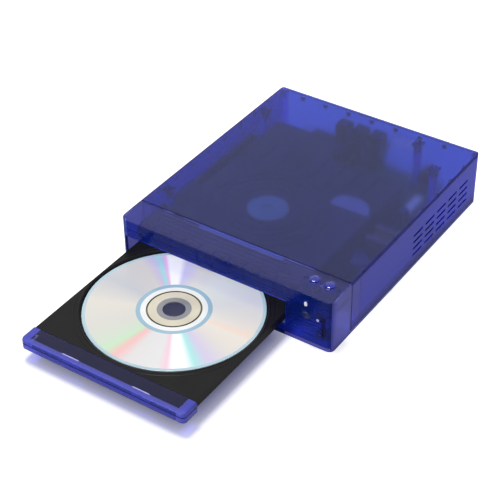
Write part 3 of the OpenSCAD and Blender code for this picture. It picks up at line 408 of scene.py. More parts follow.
@dataclass(frozen=True)
class WorkedMetal(Finish):
    """Bare or plated metal with the marks of how it was worked: drawn, ground, stamped or rolled.

    Stretched noise gives the direction of working, so highlights run along it.
    """

    colour: str
    stain: str
    roughness: float = 0.32
    line_mm: Place = (0.4, 8.0, 0.4)
    marks: float = 0.2
    mark_depth: float = 0.05 * MM
    stain_stops: Span = (0.35, 0.62)
    smoother: float = 0.08
    rougher: float = 0.1
    least_rough: float = 0.05

    def shade(self, tree: Tree, coords: Socket) -> Node:
        """Metallic surface with colour, roughness and bump from one stretched noise.

        Args:
            tree: Node tree of the finish.
            coords: Object coordinates.

        Returns:
            The surface's shader.
        """
        scale = tuple(per_metre(size) for size in self.line_mm)
        stretch = add_node(tree, "Mapping", {"Scale": scale, "Vector": coords})
        lines = add_node(tree, "TexNoise", {"Scale": 1.0, "Detail": 3.0, "Vector": stretch})
        colour = add_ramp(tree, lines, self.stain_stops, self.stain, self.colour)
        smoothest = max(self.roughness - self.smoother, self.least_rough)
        roughest = self.roughness + self.rougher
        rough = add_range(tree, lines, smoothest, roughest)
        bump = add_relief(tree, lines, self.marks, self.mark_depth)
        return add_node(tree, "BsdfPrincipled", {
            "Metallic": 1.0, "Base Color": colour, "Roughness": rough, "Normal": bump,
        })


@dataclass(frozen=True)
class SolderMask(Finish):
    """Glass-epoxy board under green solder mask: copper tracks show as paler lines, with tinned pads."""

    mask: str = "#0E4A2C"
    track: str = "#1F6B42"
    pad: str = "#B9B4A2"
    track_mm: float = 4.4
    track_stops: Span = (0.06, 0.1)
    wander: float = 0.55
    pad_mm: float = 3.4
    pad_stops: Span = (0.13, 0.16)
    pad_wander: float = 0.3
    relief: float = 0.3
    copper_depth: float = 0.04 * MM
    roughness: float = 0.32

    def shade(self, tree: Tree, coords: Socket) -> Node:
        """Tracks from a blocky cell pattern's edges, pads from round cells.

        Args:
            tree: Node tree of the finish.
            coords: Object coordinates.

        Returns:
            The surface's shader.
        """
        cells = add_node(tree, "TexVoronoi", {
            "feature": "DISTANCE_TO_EDGE", "Scale": per_metre(self.track_mm), "Randomness": self.wander,
            "Vector": coords,
        })
        tracks = add_ramp(tree, cells, self.track_stops, self.track, self.mask)
        rings = add_node(tree, "TexVoronoi", {
            "Scale": per_metre(self.pad_mm), "Randomness": self.pad_wander, "Vector": coords,
        })
        pads = add_ramp(tree, rings, self.pad_stops, WHITE, BLACK)
        colour = add_cover(tree, pads, tracks, self.pad)
        bump = add_node(tree, "Bump", {
            "Strength": self.relief, "Distance": self.copper_depth, "invert": True, "Height": cells,
        })
        return add_node(tree, "BsdfPrincipled", {
            "Roughness": self.roughness, "Base Color": colour, "Metallic": pads, "Normal": bump,
        })


@dataclass(frozen=True)
class CanSleeve(Finish):
    """Electrolytic can: dark shrink sleeve round the side, bare pressed aluminium on the top."""

    sleeve: str = "#1B2030"
    aluminium: str = "#5A5C60"
    upward: float = 0.9
    wrinkle_mm: float = 3.0
    wrinkle: float = 0.25
    wrinkle_depth: float = 0.1 * MM
    roughness: float = 0.35

    def shade(self, tree: Tree, coords: Socket) -> Node:
        """Faces that point up are aluminium, all others are sleeve.

        Args:
            tree: Node tree of the finish.
            coords: Object coordinates.

        Returns:
            The surface's shader.
        """
        normal = add_node(tree, "NewGeometry").outputs["Normal"]
        facing = add_node(tree, "SeparateXYZ", {"Vector": normal}).outputs
        top = add_maths(tree, "GREATER_THAN", facing["Z"], self.upward)
        folds = add_noise(tree, coords, self.wrinkle_mm, detail=2.0)
        bump = add_relief(tree, folds, self.wrinkle, self.wrinkle_depth)
        colour = add_cover(tree, top, self.sleeve, self.aluminium)
        return add_node(tree, "BsdfPrincipled", {
            "Roughness": self.roughness, "Base Color": colour, "Metallic": top, "Normal": bump,
        })


@dataclass(frozen=True)
class VarnishedCore(Finish):
    """Transformer: varnished silicon-steel sheets at both ends, and yellow polyester tape on the coil."""

    coil_middle_y: float
    coil_half_depth: float = 4.5 * MM
    steel: str = "#3A332B"
    edge: str = "#6A6156"
    edge_stops: Span = (0.3, 0.9)
    tape: str = "#57481F"
    sheet_mm: float = 0.9
    waves_per_cell: float = 3.2
    waver: float = 0.6
    roughness: float = 0.4

    def shade(self, tree: Tree, coords: Socket) -> Node:
        """Stripes stand for the sheet edges, and the tape fills the band about the coil's middle.

        Args:
            tree: Node tree of the finish.
            coords: Object coordinates.

        Returns:
            The surface's shader.
        """
        axes = add_node(tree, "SeparateXYZ", {"Vector": coords}).outputs
        offset = add_maths(tree, "SUBTRACT", axes["Y"], self.coil_middle_y)
        reach = add_maths(tree, "ABSOLUTE", offset)
        taped = add_maths(tree, "LESS_THAN", reach, self.coil_half_depth)
        sheets = add_node(tree, "TexWave", {
            "bands_direction": "Z", "Scale": per_metre(self.sheet_mm) / self.waves_per_cell,
            "Distortion": self.waver, "Vector": coords,
        })
        core = add_ramp(tree, sheets.outputs["Fac"], self.edge_stops, self.steel, self.edge)
        colour = add_cover(tree, taped, core, self.tape)
        return add_node(tree, "BsdfPrincipled", {"Roughness": self.roughness, "Base Color": colour})


@dataclass(frozen=True)
class JackShell(Finish):
    """Phono jack: a black moulded block inside the player, and a gilt brass collar past the rear wall."""

    rear_y: float
    body: str = "#121214"
    brass: str = "#D8B45C"
    roughness: Span = (0.2, 0.4)
    scuff_mm: float = 0.6
    scuff: float = 0.1
    scuff_depth: float = 0.05 * MM

    def shade(self, tree: Tree, coords: Socket) -> Node:
        """Black up to the rear wall's outer face, metal beyond it.

        Args:
            tree: Node tree of the finish.
            coords: Object coordinates.

        Returns:
            The surface's shader.
        """
        axes = add_node(tree, "SeparateXYZ", {"Vector": coords}).outputs
        outside = add_maths(tree, "GREATER_THAN", axes["Y"], self.rear_y)
        scuffs = add_noise(tree, coords, self.scuff_mm, detail=3.0)
        rough = add_range(tree, scuffs, *self.roughness)
        bump = add_relief(tree, scuffs, self.scuff, self.scuff_depth)
        colour = add_cover(tree, outside, self.body, self.brass)
        return add_node(tree, "BsdfPrincipled", {
            "Base Color": colour, "Metallic": outside, "Roughness": rough, "Normal": bump,
        })


@dataclass(frozen=True)
class SilveredBand(Finish):
    """Data band of a disc: silver under clear polycarbonate, ruled with a fine spiral track.

    The track splits light, and fixed rays of tint painted out from the middle stand for it: painted
    reflections, with two white painted highlights.
    """

    middle: Span
    roughness: float = 0.38
    silver: float = 0.12
    gloss: float = 0.3
    lacquer: float = 0.15
    lacquer_roughness: float = 0.06
    track_scale: float = 900.0
    track: float = 0.02
    track_depth: float = 0.02 * MM

    # Painted reflections by angle in degrees: rainbow tints, white painted highlights near 125 and 309, and
    # paler tints near 75 to 100 that make up for the front panel's shade.
    PAINTED_REFLECTIONS = (
        (0, "#E9E2D9"), (4, "#F0DACB"), (12, "#E6E0DA"), (40, "#DCDDDF"), (75, "#E1E5E3"),
        (100, "#E2E0DC"), (116, "#D2CDF2"), (121, "#FFFFFF"), (130, "#FFFFFF"), (132.5, "#EFB8EE"),
        (136.5, "#A3E4E6"), (141, "#CFC6E4"), (150, "#D6D3D2"), (177, "#C4C6CE"), (204, "#DEDAD2"),
        (230, "#D8D6D0"), (250, "#CFDCCB"), (257, "#C4E3C2"), (265, "#EFBDBD"), (275, "#DEDCDC"),
        (295, "#E2E1E1"), (301.5, "#F1CCDC"), (305, "#FFFFFF"), (313, "#FFFFFF"), (319.5, "#A9E5E3"),
        (328, "#D2CAE6"), (345, "#E0DBD4"), (360, "#E9E2D9"),
    )

    def shade(self, tree: Tree, coords: Socket) -> Node:
        """Colour by the angle in degrees about the disc's middle, for painted reflections and highlights, and
        rings of fine relief.

        Args:
            tree: Node tree of the finish.
            coords: Object coordinates.

        Returns:
            The surface's shader.
        """
        centred = add_vector_maths(tree, "SUBTRACT", coords, (*self.middle, 0))
        axes = add_node(tree, "SeparateXYZ", {"Vector": centred}).outputs
        angle = add_maths(tree, "ARCTAN2", axes["Y"], axes["X"])
        turn = add_maths(tree, "MULTIPLY", angle, 1 / (2 * math.pi))
        share = add_maths(tree, "FRACT", turn)
        degrees, tints = zip(*self.PAINTED_REFLECTIONS)
        painted_reflections = add_ramp(tree, share, np.array(degrees) / 360, *tints)
        track = add_node(tree, "TexWave", {
            "wave_type": "RINGS", "rings_direction": "SPHERICAL", "Scale": self.track_scale,
            "Vector": centred,
        })
        bump = add_relief(tree, track.outputs["Fac"], self.track, self.track_depth)
        return add_node(tree, "BsdfPrincipled", {
            "Metallic": self.silver, "Roughness": self.roughness, "Specular IOR Level": self.gloss,
            "Coat Weight": self.lacquer, "Coat Roughness": self.lacquer_roughness,
            "Base Color": painted_reflections, "Normal": bump,
        })


@dataclass(frozen=True)
class StudioFloor(Finish):
    """Matt pale paper. Camera and transmission rays also get a little white, so the paper stays white
    away from the tray and behind clear plastic, and keeps the object's shadow. Gloss mirrors a greyer
    paper, so that polished walls stay deep in colour."""

    paper: str = "#EDEDEE"
    fibre_mm: float = 2.0
    fibre: float = 0.02
    fibre_depth: float = 0.1 * MM
    lift: float = 0.55
    clear_lift: float = 0.3
    mirrored_paper: str = "#CACACC"
    # Painted shade and light about the tray: a smaller lift there, tinted blue-violet.
    shade_lift: float = 0.07
    shadow_painted_light_colour: str = "#9498FF"
    shade_middle: Span = (-0.016, -0.105)
    shade_half: Span = (0.052, 0.045)
    fade: float = 0.026
    far: Span = (0.1, 0.6)

    def shade(self, tree: Tree, coords: Socket) -> Node:
        """Diffuse paper plus a lift that only seen rays get.

        The lift grows with the distance from the tray's rectangle: the length of the positive part of
        (|place - middle| - half size). About the tray the smaller lift lets the real shadow show and paints
        the paper darker, and it turns blue-violet there: painted blue light under the door and tray.

        Args:
            tree: Node tree of the finish.
            coords: Object coordinates.

        Returns:
            The surface's shader.
        """
        fibres = add_noise(tree, coords, self.fibre_mm, detail=2.0)
        bump = add_relief(tree, fibres, self.fibre, self.fibre_depth)
        rays = add_node(tree, "LightPath").outputs
        only_gloss = add_node(tree, "Math", {
            "operation": "SUBTRACT", "use_clamp": True,
            0: rays["Is Glossy Ray"], 1: rays["Is Transmission Ray"],
        })
        shown = add_cover(tree, only_gloss, self.paper, self.mirrored_paper)
        paper = add_node(tree, "BsdfDiffuse", {"Color": shown, "Normal": bump})
        middle, half = (*self.shade_middle, 0), (*self.shade_half, 0)
        offset = add_vector_maths(tree, "SUBTRACT", coords, middle)
        mirrored = add_vector_maths(tree, "ABSOLUTE", offset)
        beyond = add_vector_maths(tree, "SUBTRACT", mirrored, half)
        outside = add_vector_maths(tree, "MAXIMUM", beyond)
        reach = add_vector_maths(tree, "LENGTH", outside)
        near, far = self.far
        far_lift = add_node(tree, "MapRange", {
            "Value": reach, "From Min": near, "From Max": far, "To Min": self.lift, "To Max": 1.0,
        })
        grown = add_node(tree, "MapRange", {
            "Value": reach, "From Max": self.fade, "To Min": self.shade_lift, "To Max": far_lift,
        })
        straight = add_maths(tree, "MULTIPLY", rays["Is Camera Ray"], grown)
        lift = add_maths(tree, "MULTIPLY_ADD", rays["Is Transmission Ray"], self.clear_lift, straight)
        # Painted blue light in the tray's shadow, white away from it.
        whitened = add_node(tree, "MapRange", {"Value": reach, "From Max": self.fade})
        shadow_painted_light = add_cover(tree, whitened, self.shadow_painted_light_colour, WHITE)
        glow = add_node(tree, "Emission", {"Color": shadow_painted_light, "Strength": lift})
        return add_node(tree, "AddShader", {0: paper, 1: glow})


# ---------------------------------------------------------------- mesh making


class Ends(Enum):
    """How the rows of a grid are closed at its first and last row."""

    OPEN = "open"
    CAPPED = "capped"
    JOINED = "joined"


def grid_faces(points: np.ndarray, ends: Ends, round_columns: bool = True) -> Faces:
    """Faces of a grid of points, four corners each.

    Args:
        points: Places, shape (rows, columns, 3).
        ends: What happens at the first and last row.
        round_columns: Whether the last column meets the first.

    Returns:
        Point numbers of each face.
    """
    rows, columns = points.shape[:2]
    down = np.arange(rows if ends is Ends.JOINED else rows - 1)
    across = np.arange(columns if round_columns else columns - 1)
    r, c = (g.ravel() for g in np.meshgrid(down, across, indexing="ij"))
    r1, c1 = (r + 1) % rows, (c + 1) % columns
    quads = np.stack([r * columns + c, r * columns + c1, r1 * columns + c1, r1 * columns + c], axis=1)
    faces = [tuple(q) for q in quads.tolist()]
    if ends is Ends.CAPPED:
        first = np.arange(columns)
        faces.append(tuple(first[::-1].tolist()))
        faces.append(tuple((first + (rows - 1) * columns).tolist()))
    return faces


def full_turn(steps: int) -> np.ndarray:
    """Angles of evenly spaced places round a circle."""
    return np.linspace(0, 2 * math.pi, steps, endpoint=False)


def lathe(profile: np.ndarray, steps: int, centre: Vector, axis: Vector) -> np.ndarray:
    """Turns a profile about an axis.

    A point at radius r and height h goes to centre + h * axis + r * (cos a * u + sin a * v), where u and v
    are two directions square to the axis and a runs round a full turn.

    Args:
        profile: Radius and height of each profile point, in metres.
        steps: Number of places round the axis.
        centre: Point on the axis at height nought.
        axis: Direction of the axis.

    Returns:
        Points in rows of one turn each, shape (profile points, steps, 3).
    """
    n = np.array(axis.normalized())
    helper = np.array([1.0, 0, 0]) if abs(n[0]) < 0.9 else np.array([0, 1.0, 0])
    u = np.cross(n, helper)
    u /= np.linalg.norm(u)
    v = np.cross(n, u)
    angle = full_turn(steps)
    ring = np.cos(angle)[:, None] * u + np.sin(angle)[:, None] * v
    radius, height = profile[:, 0], profile[:, 1]
    return np.array(centre) + height[:, None, None] * n + radius[:, None, None] * ring[None]


@dataclass(frozen=True)
class Bead:
    """A slim bead that closes at both ends, with rows of points along it and steps round it.

    Its section is an ellipse, half[0] * cos a across and half[1] * sin a up. Along the bead, with t from -1
    to 1, the section shrinks by the root of 1 - |t| ^ fullness, which is kept above least.
    """

    half: Span
    rows: int
    steps: int
    fullness: float
    least: float

    def section(self) -> tuple[np.ndarray, np.ndarray]:
        """Works out the bead's section in each row.

        Returns:
            Offsets across and up, shape (rows, steps) each.
        """
        t = np.linspace(-1, 1, self.rows)
        shrink = np.sqrt(np.clip(1 - np.abs(t) ** self.fullness, self.least, 1))[:, None]
        turn = full_turn(self.steps)[None]
        return self.half[0] * np.cos(turn) * shrink, self.half[1] * np.sin(turn) * shrink


def middle_of(node: str) -> Span:
    """Middle of a node's box, across and along the player."""
    low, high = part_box(node)
    return (low.x + high.x) / 2, (low.y + high.y) / 2


def face_middles(piece: bpy.types.Object) -> np.ndarray:
    """Reads the middle of each face of a piece.

    Args:
        piece: The mesh object.

    Returns:
        Places, one row each.
    """
    middles = np.empty(len(piece.data.polygons) * 3, np.float32)
    piece.data.polygons.foreach_get("center", middles)
    return middles.reshape(-1, 3)


@dataclass
class SubAssembly:
    """Pieces that belong together and wear the shared finishes."""

    finishes: Finishes

    WELD = 1e-3 * MM
    SLIVER = 1e-4 * MM
    CREASE = math.radians(35.0)

    def make_piece(self, name: str, points: np.ndarray, faces: Faces, body: str, slot: str,
                   *worn: str) -> bpy.types.Object:
        """Puts points and faces into a closed mesh object that rides on a body.

        Points that meet are welded, and edges sharper than the crease stay crisp.

        Args:
            name: Name of the piece.
            points: Places in metres, shape (rows, columns, 3).
            faces: Point numbers of each face.
            body: Body that the piece moves with.
            slot: Material slot of the record that its finish belongs to; not used.
            worn: Names of its finishes, the first one on every face to begin with.

        Returns:
            The object, with its place in its mesh.
        """
        mesh = bpy.data.meshes.new(name)
        mesh.from_pydata(points.reshape(-1, 3), [], faces)
        work = bmesh.new()
        work.from_mesh(mesh)
        bmesh.ops.remove_doubles(work, verts=work.verts, dist=self.WELD)
        bmesh.ops.dissolve_degenerate(work, edges=work.edges, dist=self.SLIVER)
        bmesh.ops.recalc_face_normals(work, faces=work.faces)
        work.to_mesh(mesh)
        work.free()
        mesh.polygons.foreach_set("use_smooth", np.ones(len(mesh.polygons), bool))
        mesh.set_sharp_from_angle(angle=self.CREASE)
        for finish in worn:
            mesh.materials.append(self.finishes[finish])
        piece = bpy.data.objects.new(name, mesh)
        bpy.context.scene.collection.objects.link(piece)
        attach(piece, body)
        LOG.info("%s: %d faces, on %s", name, len(mesh.polygons), body)
        return piece


# ---------------------------------------------------------------- disc


@dataclass
class Disc(SubAssembly):
    """The disc in the tray: moulded clear plastic with a silvered data band and a bare hub."""

    radius: float = 60 * MM
    hole: float = 7.5 * MM
    hole_bevels: Span = (0.2 * MM, 0.25 * MM)
    edge_round: float = 0.35 * MM
    edge_steps: int = 5
    band: Span = (25.0 * MM, 57.7 * MM)
    mirror_ring: float = 22.0 * MM
    stack_ring: Span = (17.3 * MM, 18.3 * MM)
    stack_depth: float = 1.0 * MM
    stack_slope: float = 0.1 * MM
    clamp_area: float = 11.4 * MM
    skin: float = 0.15 * MM
    steps: int = 360

    RINGS = ("disc_rim", "disc_band", "disc_mirror_ring", "disc_inner_white", "disc_stack_ring", "disc_hub",
             "disc_bore")

    def __post_init__(self) -> None:
        """Reads the disc's place from the frame."""
        low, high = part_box("disc")
        self.low_z, self.top_z = low.z, high.z
        self.centre = Vector((*middle_of("disc"), 0))

    def profile(self) -> np.ndarray:
        """Half section of the disc: a closed loop of radius and height, with round rim edges and the groove
        inside the ring that keeps stacked discs apart.

        Returns:
            Profile points in metres.
        """
        e, z0, z1 = self.edge_round, self.low_z, self.top_z
        curve = np.linspace(0, math.pi / 2, self.edge_steps)
        lower_rim = np.stack([self.radius - e + e * np.sin(curve), z0 + e - e * np.cos(curve)], axis=1)
        upper_rim = np.stack([self.radius - e + e * np.cos(curve), z1 - e + e * np.sin(curve)], axis=1)
        (s0, s1), floor = self.stack_ring, z1 - self.stack_depth
        under, over = self.hole_bevels
        top = np.array([
            [self.band[1], z1], [self.band[0], z1], [self.mirror_ring, z1], [s1 + self.stack_slope, z1],
            [s1, floor], [s0, floor], [s0 - self.stack_slope, z1], [self.clamp_area, z1],
            [self.hole + over, z1], [self.hole, z1 - over],
        ])
        bottom = np.array([[self.hole, z0 + under], [self.hole + under, z0]])
        return np.concatenate([lower_rim, upper_rim, top, bottom])

    def build(self) -> None:
        """Turns the half section about the disc's middle and gives each ring its own finish.

        The groove's finish, a dark olive that is painted shade, is on the top only.
        """
        turned = lathe(self.profile(), self.steps, self.centre, Vector((0, 0, 1)))
        piece = self.make_piece("disc_face", turned, grid_faces(turned, Ends.JOINED), "disc",
                                "disc_polycarbonate", *self.RINGS)
        middles = face_middles(piece)
        radius = np.hypot(middles[:, 0] - self.centre.x, middles[:, 1] - self.centre.y)
        on_top = middles[:, 2] > self.low_z + self.skin
        index = np.zeros(len(middles), np.int32)
        groove = (self.stack_ring[0] - self.stack_slope, self.stack_ring[1] + self.stack_slope)
        spans = [self.band, (self.mirror_ring, self.band[0]), (groove[1], self.mirror_ring), groove,
                 (self.clamp_area, groove[0]), (0, self.clamp_area)]
        for number, span in enumerate(spans, start=1):
            index[(radius >= span[0]) & (radius < span[1]) & (on_top | (span != groove))] = number
        piece.data.polygons.foreach_set("material_index", index)
        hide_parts("disc")


# ---------------------------------------------------------------- tray and door


@dataclass
class TrayDoor(SubAssembly):
    """Clear blue front of the tray: a shell with rounded ends, a bevelled brow and a top that laps over it.

    BROW and FOOT hold the rows of the section where it curves, in millimetres: inset from the front, inset
    from each end, and drop from the top or rise from the foot.
    """

    front_round: float = 3.2 * MM
    least_round: float = 0.3 * MM
    wall: float = 2.4 * MM
    side_wall: float = 1.2 * MM
    top_wall: float = 1.2 * MM
    inner_bevel: Span = (0.3 * MM, 0.1 * MM)
    groove: float = 0.3 * MM
    groove_from: float = 3.3 * MM
    foot_line: float = 0.7 * MM
    hair: float = 0.02 * MM
    corner_steps: int = 14
    side_steps: int = 10
    front_steps: int = 60
    catch_starts: Span = (-32.4 * MM, 22.6 * MM)
    catch_length: float = 14.0 * MM
    catch: Bead = Bead((0.42 * MM, 0.22 * MM), rows=24, steps=12, fullness=8, least=0.02)
    catch_sink: float = 0.1 * MM

    BROW = ((3.5, 1.5, 0), (2.3, 0.9, 0.12), (1.3, 0.5, 0.34), (0.5, 0.2, 0.9), (0.1, 0.05, 1.5), (0, 0, 2.1))
    FOOT = ((0, 0, 1.0), (0.25, 0.1, 0.3), (0.9, 0.4, 0))

    def __post_init__(self) -> None:
        """Reads the door's box from the frame."""
        self.low, self.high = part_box("tray_door")

    def outline(self, front_inset: float, side_inset: float) -> np.ndarray:
        """Plan of the door's wall, from the left end back to front, along the front, and back again.

        A corner is a quarter circle of the wall's radius less the inset; the rest is straight.

        Args:
            front_inset: Distance in from the front face.
            side_inset: Distance in from each end.

        Returns:
            Places across and along the player, one row each.
        """
        r = max(self.front_round - front_inset, self.least_round)
        x0, x1 = self.low.x + side_inset, self.high.x - side_inset
        y0, y1 = self.low.y + front_inset, self.high.y
        turn = np.linspace(0, math.pi / 2, self.corner_steps)
        side = np.linspace(y1, y0 + r, self.side_steps, endpoint=False)
        left = np.stack([np.full_like(side, x0), side], axis=1)
        left_corner = np.stack([x0 + r - r * np.cos(turn), y0 + r - r * np.sin(turn)], axis=1)
        run = np.linspace(x0 + r, x1 - r, self.front_steps)[1:-1]
        front = np.stack([run, np.full_like(run, y0)], axis=1)
        right_corner = np.stack([x1 - r + r * np.sin(turn), y0 + r - r * np.cos(turn)], axis=1)
        right = np.stack([np.full_like(side, x1), side[::-1]], axis=1)
        return np.concatenate([left, left_corner, front, right_corner, right])

    def back_line(self, side_inset: float) -> np.ndarray:
        """Straight row along the door's back edge, as many points as an outline.

        Args:
            side_inset: Distance in from each end.

        Returns:
            Places across and along the player.
        """
        count = 2 * (self.side_steps + self.corner_steps) + self.front_steps - 2
        run = np.linspace(self.low.x + side_inset, self.high.x - side_inset, count)
        return np.stack([run, np.full(count, self.high.y)], axis=1)

    def build(self) -> None:
        """Carries a section round the outline: lap, brow, front wall, inner wall, and the lap's underside.

        The groove and the foot's edge, on the outer side, are painted navy: painted shade.
        """
        z0, z1 = self.low.z, self.high.z
        g, groove_top = self.groove, z1 - self.groove_from
        groove_foot, lap = groove_top - 2 * g, z1 - self.top_wall
        back_bevel, side_bevel = self.inner_bevel
        outer = [(front * MM, side * MM, z1 - drop * MM) for front, side, drop in self.BROW]
        outer += [(0, 0, groove_top), (g, g, groove_top), (g, g, groove_foot), (0, 0, groove_foot)]
        outer += [(front * MM, side * MM, z0 + rise * MM) for front, side, rise in self.FOOT]
        inner = [(self.wall, self.side_wall, z0), (self.wall, self.side_wall, lap - back_bevel),
                 (self.wall + back_bevel, self.side_wall + side_bevel, lap)]
        rows = [
            (self.back_line(outer[0][1]), z1),
            *((self.outline(front, side), z) for front, side, z in outer + inner),
            (self.back_line(inner[-1][1]), lap),
        ]
        points = np.stack([np.column_stack([plan, np.full(len(plan), z)]) for plan, z in rows])
        count = points.shape[1]
        ring = np.arange(len(rows)) * count
        ends = [tuple(ring.tolist()), tuple((ring + count - 1)[::-1].tolist())]
        door = self.make_piece("door_shell", points, grid_faces(points, Ends.JOINED, False) + ends,
                               "tray", "blue_shell", "door_clear_blue", "ring_navy")
        # Painted shade: the groove and the foot's edge on the outer side take the navy finish.
        height = face_middles(door)[:, 2]
        in_groove = (height < groove_top + self.hair) & (height > groove_foot - self.hair)
        at_foot = (height < z0 + self.foot_line) & (height > z0 + self.hair)
        outside = np.arange(len(height)) < (count - 1) * (len(outer) + 1)
        door.data.polygons.foreach_set("material_index", ((in_groove | at_foot) & outside).astype(np.int32))
        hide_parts("tray_door")
        self.build_catches()

    def build_catches(self) -> None:
        """Two catches that hold the door on the tray, drawn as pale beads by the brow: painted highlights."""
        y, z = self.low.y + self.BROW[0][0] * MM - self.catch_sink, self.high.z - self.catch_sink
        across, up = self.catch.section()
        for number, start in enumerate(self.catch_starts):
            x = middle_of("tray")[0] + start
            run = np.linspace(x, x + self.catch_length, self.catch.rows)[:, None]
            points = np.stack([np.broadcast_to(run, across.shape), y + across, z + up], axis=2)
            # Painted highlights: two pale, nearly solid beads by the brow.
            self.make_piece(f"door_catch_{number}", points, grid_faces(points, Ends.CAPPED), "tray",
                            "blue_shell", "catch_clear_violet")


@dataclass
class TrayTrim(SubAssembly):
    """Raised lips on the tray: beads in arcs beside the disc recess, by their radius about its middle."""

    lips: tuple[tuple[float, Bead], ...] = (
        (62.1 * MM, Bead((0.55 * MM, 0.42 * MM), rows=56, steps=10, fullness=10, least=0.01)),
        (65.2 * MM, Bead((0.5 * MM, 0.36 * MM), rows=56, steps=10, fullness=10, least=0.01)),
    )
    side_inset: float = 1.6 * MM
    front_inset: float = 0.8 * MM
    back_inset: float = 6 * MM
    sink: float = 0.1 * MM

    def build(self) -> None:
        """Adds the lips in each corner that the recess leaves.

        A lip's section is half an ellipse; it runs along a circle about the disc's middle and sinks into
        the tray at both ends.
        """
        tray_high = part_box("tray")[1]
        cx, cy = middle_of("disc")
        reach_x = tray_high.x - cx - self.side_inset
        front_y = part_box("tray_door")[1].y + self.front_inset
        back_y = tray_high.y - self.back_inset
        for number, (radius, bead) in enumerate(self.lips):
            side = math.acos(min(reach_x / radius, 1))
            front = math.asin(min((cy - front_y) / radius, 1))
            back = math.asin(min((back_y - cy) / radius, 1))
            spans = {
                "front_right": (-front, -side),
                "back_right": (side, back),
                "back_left": (math.pi - back, math.pi - side),
                "front_left": (math.pi + side, math.pi + front),
            }
            across, up = bead.section()
            r, z = radius + across, tray_high.z - self.sink + up
            for corner, (start, stop) in spans.items():
                angle = np.linspace(start, stop, bead.rows)[:, None]
                points = np.stack([cx + r * np.cos(angle), cy + r * np.sin(angle), z], axis=2)
                self.make_piece(f"tray_lip_{number}_{corner}", points, grid_faces(points, Ends.CAPPED),
                                "tray", "tray_black", "tray_lip_black")


@dataclass
class PlateWindow(SubAssembly):
    """Pale half-moon sheet in the opening in the loader's top plate: painted light showing through it."""

    half_width: float = 15.0 * MM
    depth: float = 15.5 * MM
    lean: float = -2.4 * MM
    thickness: float = 0.14 * MM
    behind_puck: float = 15.0 * MM
    from_right: float = 17.6 * MM
    under_puck: float = 0.95 * MM
    squareness: float = 0.8
    steps: int = 48

    EDGE = ((0.97, 0.0), (1.0, 0.3), (1.0, 0.7), (0.97, 1.0))

    def build(self) -> None:
        """Lays the sheet of painted light on the plate.

        Its edge runs along half a superellipse, x = a * |cos t| ^ s and y = b * |sin t| ^ s for squareness
        s, which leans to the left as it goes back; the chord closes it. EDGE rounds its rim: the share of
        the outline's size at each share of the thickness.
        """
        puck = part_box("clamp_puck")[1]
        corner = np.array([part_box("loader_top_plate")[1].x - self.from_right, puck.y + self.behind_puck])
        z = puck.z - self.under_puck
        t = np.linspace(0, math.pi, self.steps)
        across = np.sign(np.cos(t)) * np.abs(np.cos(t)) ** self.squareness * self.half_width
        back = np.abs(np.sin(t)) ** self.squareness * self.depth
        edge = corner + np.stack([across + self.lean * np.sin(t), back], axis=1)
        middle = edge.mean(axis=0)
        layers = ((middle + share * (edge - middle), z + rise * self.thickness) for share, rise in self.EDGE)
        points = np.stack([np.column_stack([plan, np.full(self.steps, level)]) for plan, level in layers])
        # Painted light: a pale sheet where light shows through the opening.
        self.make_piece("plate_window_film", points, grid_faces(points, Ends.CAPPED), "chassis", "black_abs",
                        "film_frosted_violet")


# ---------------------------------------------------------------- front controls


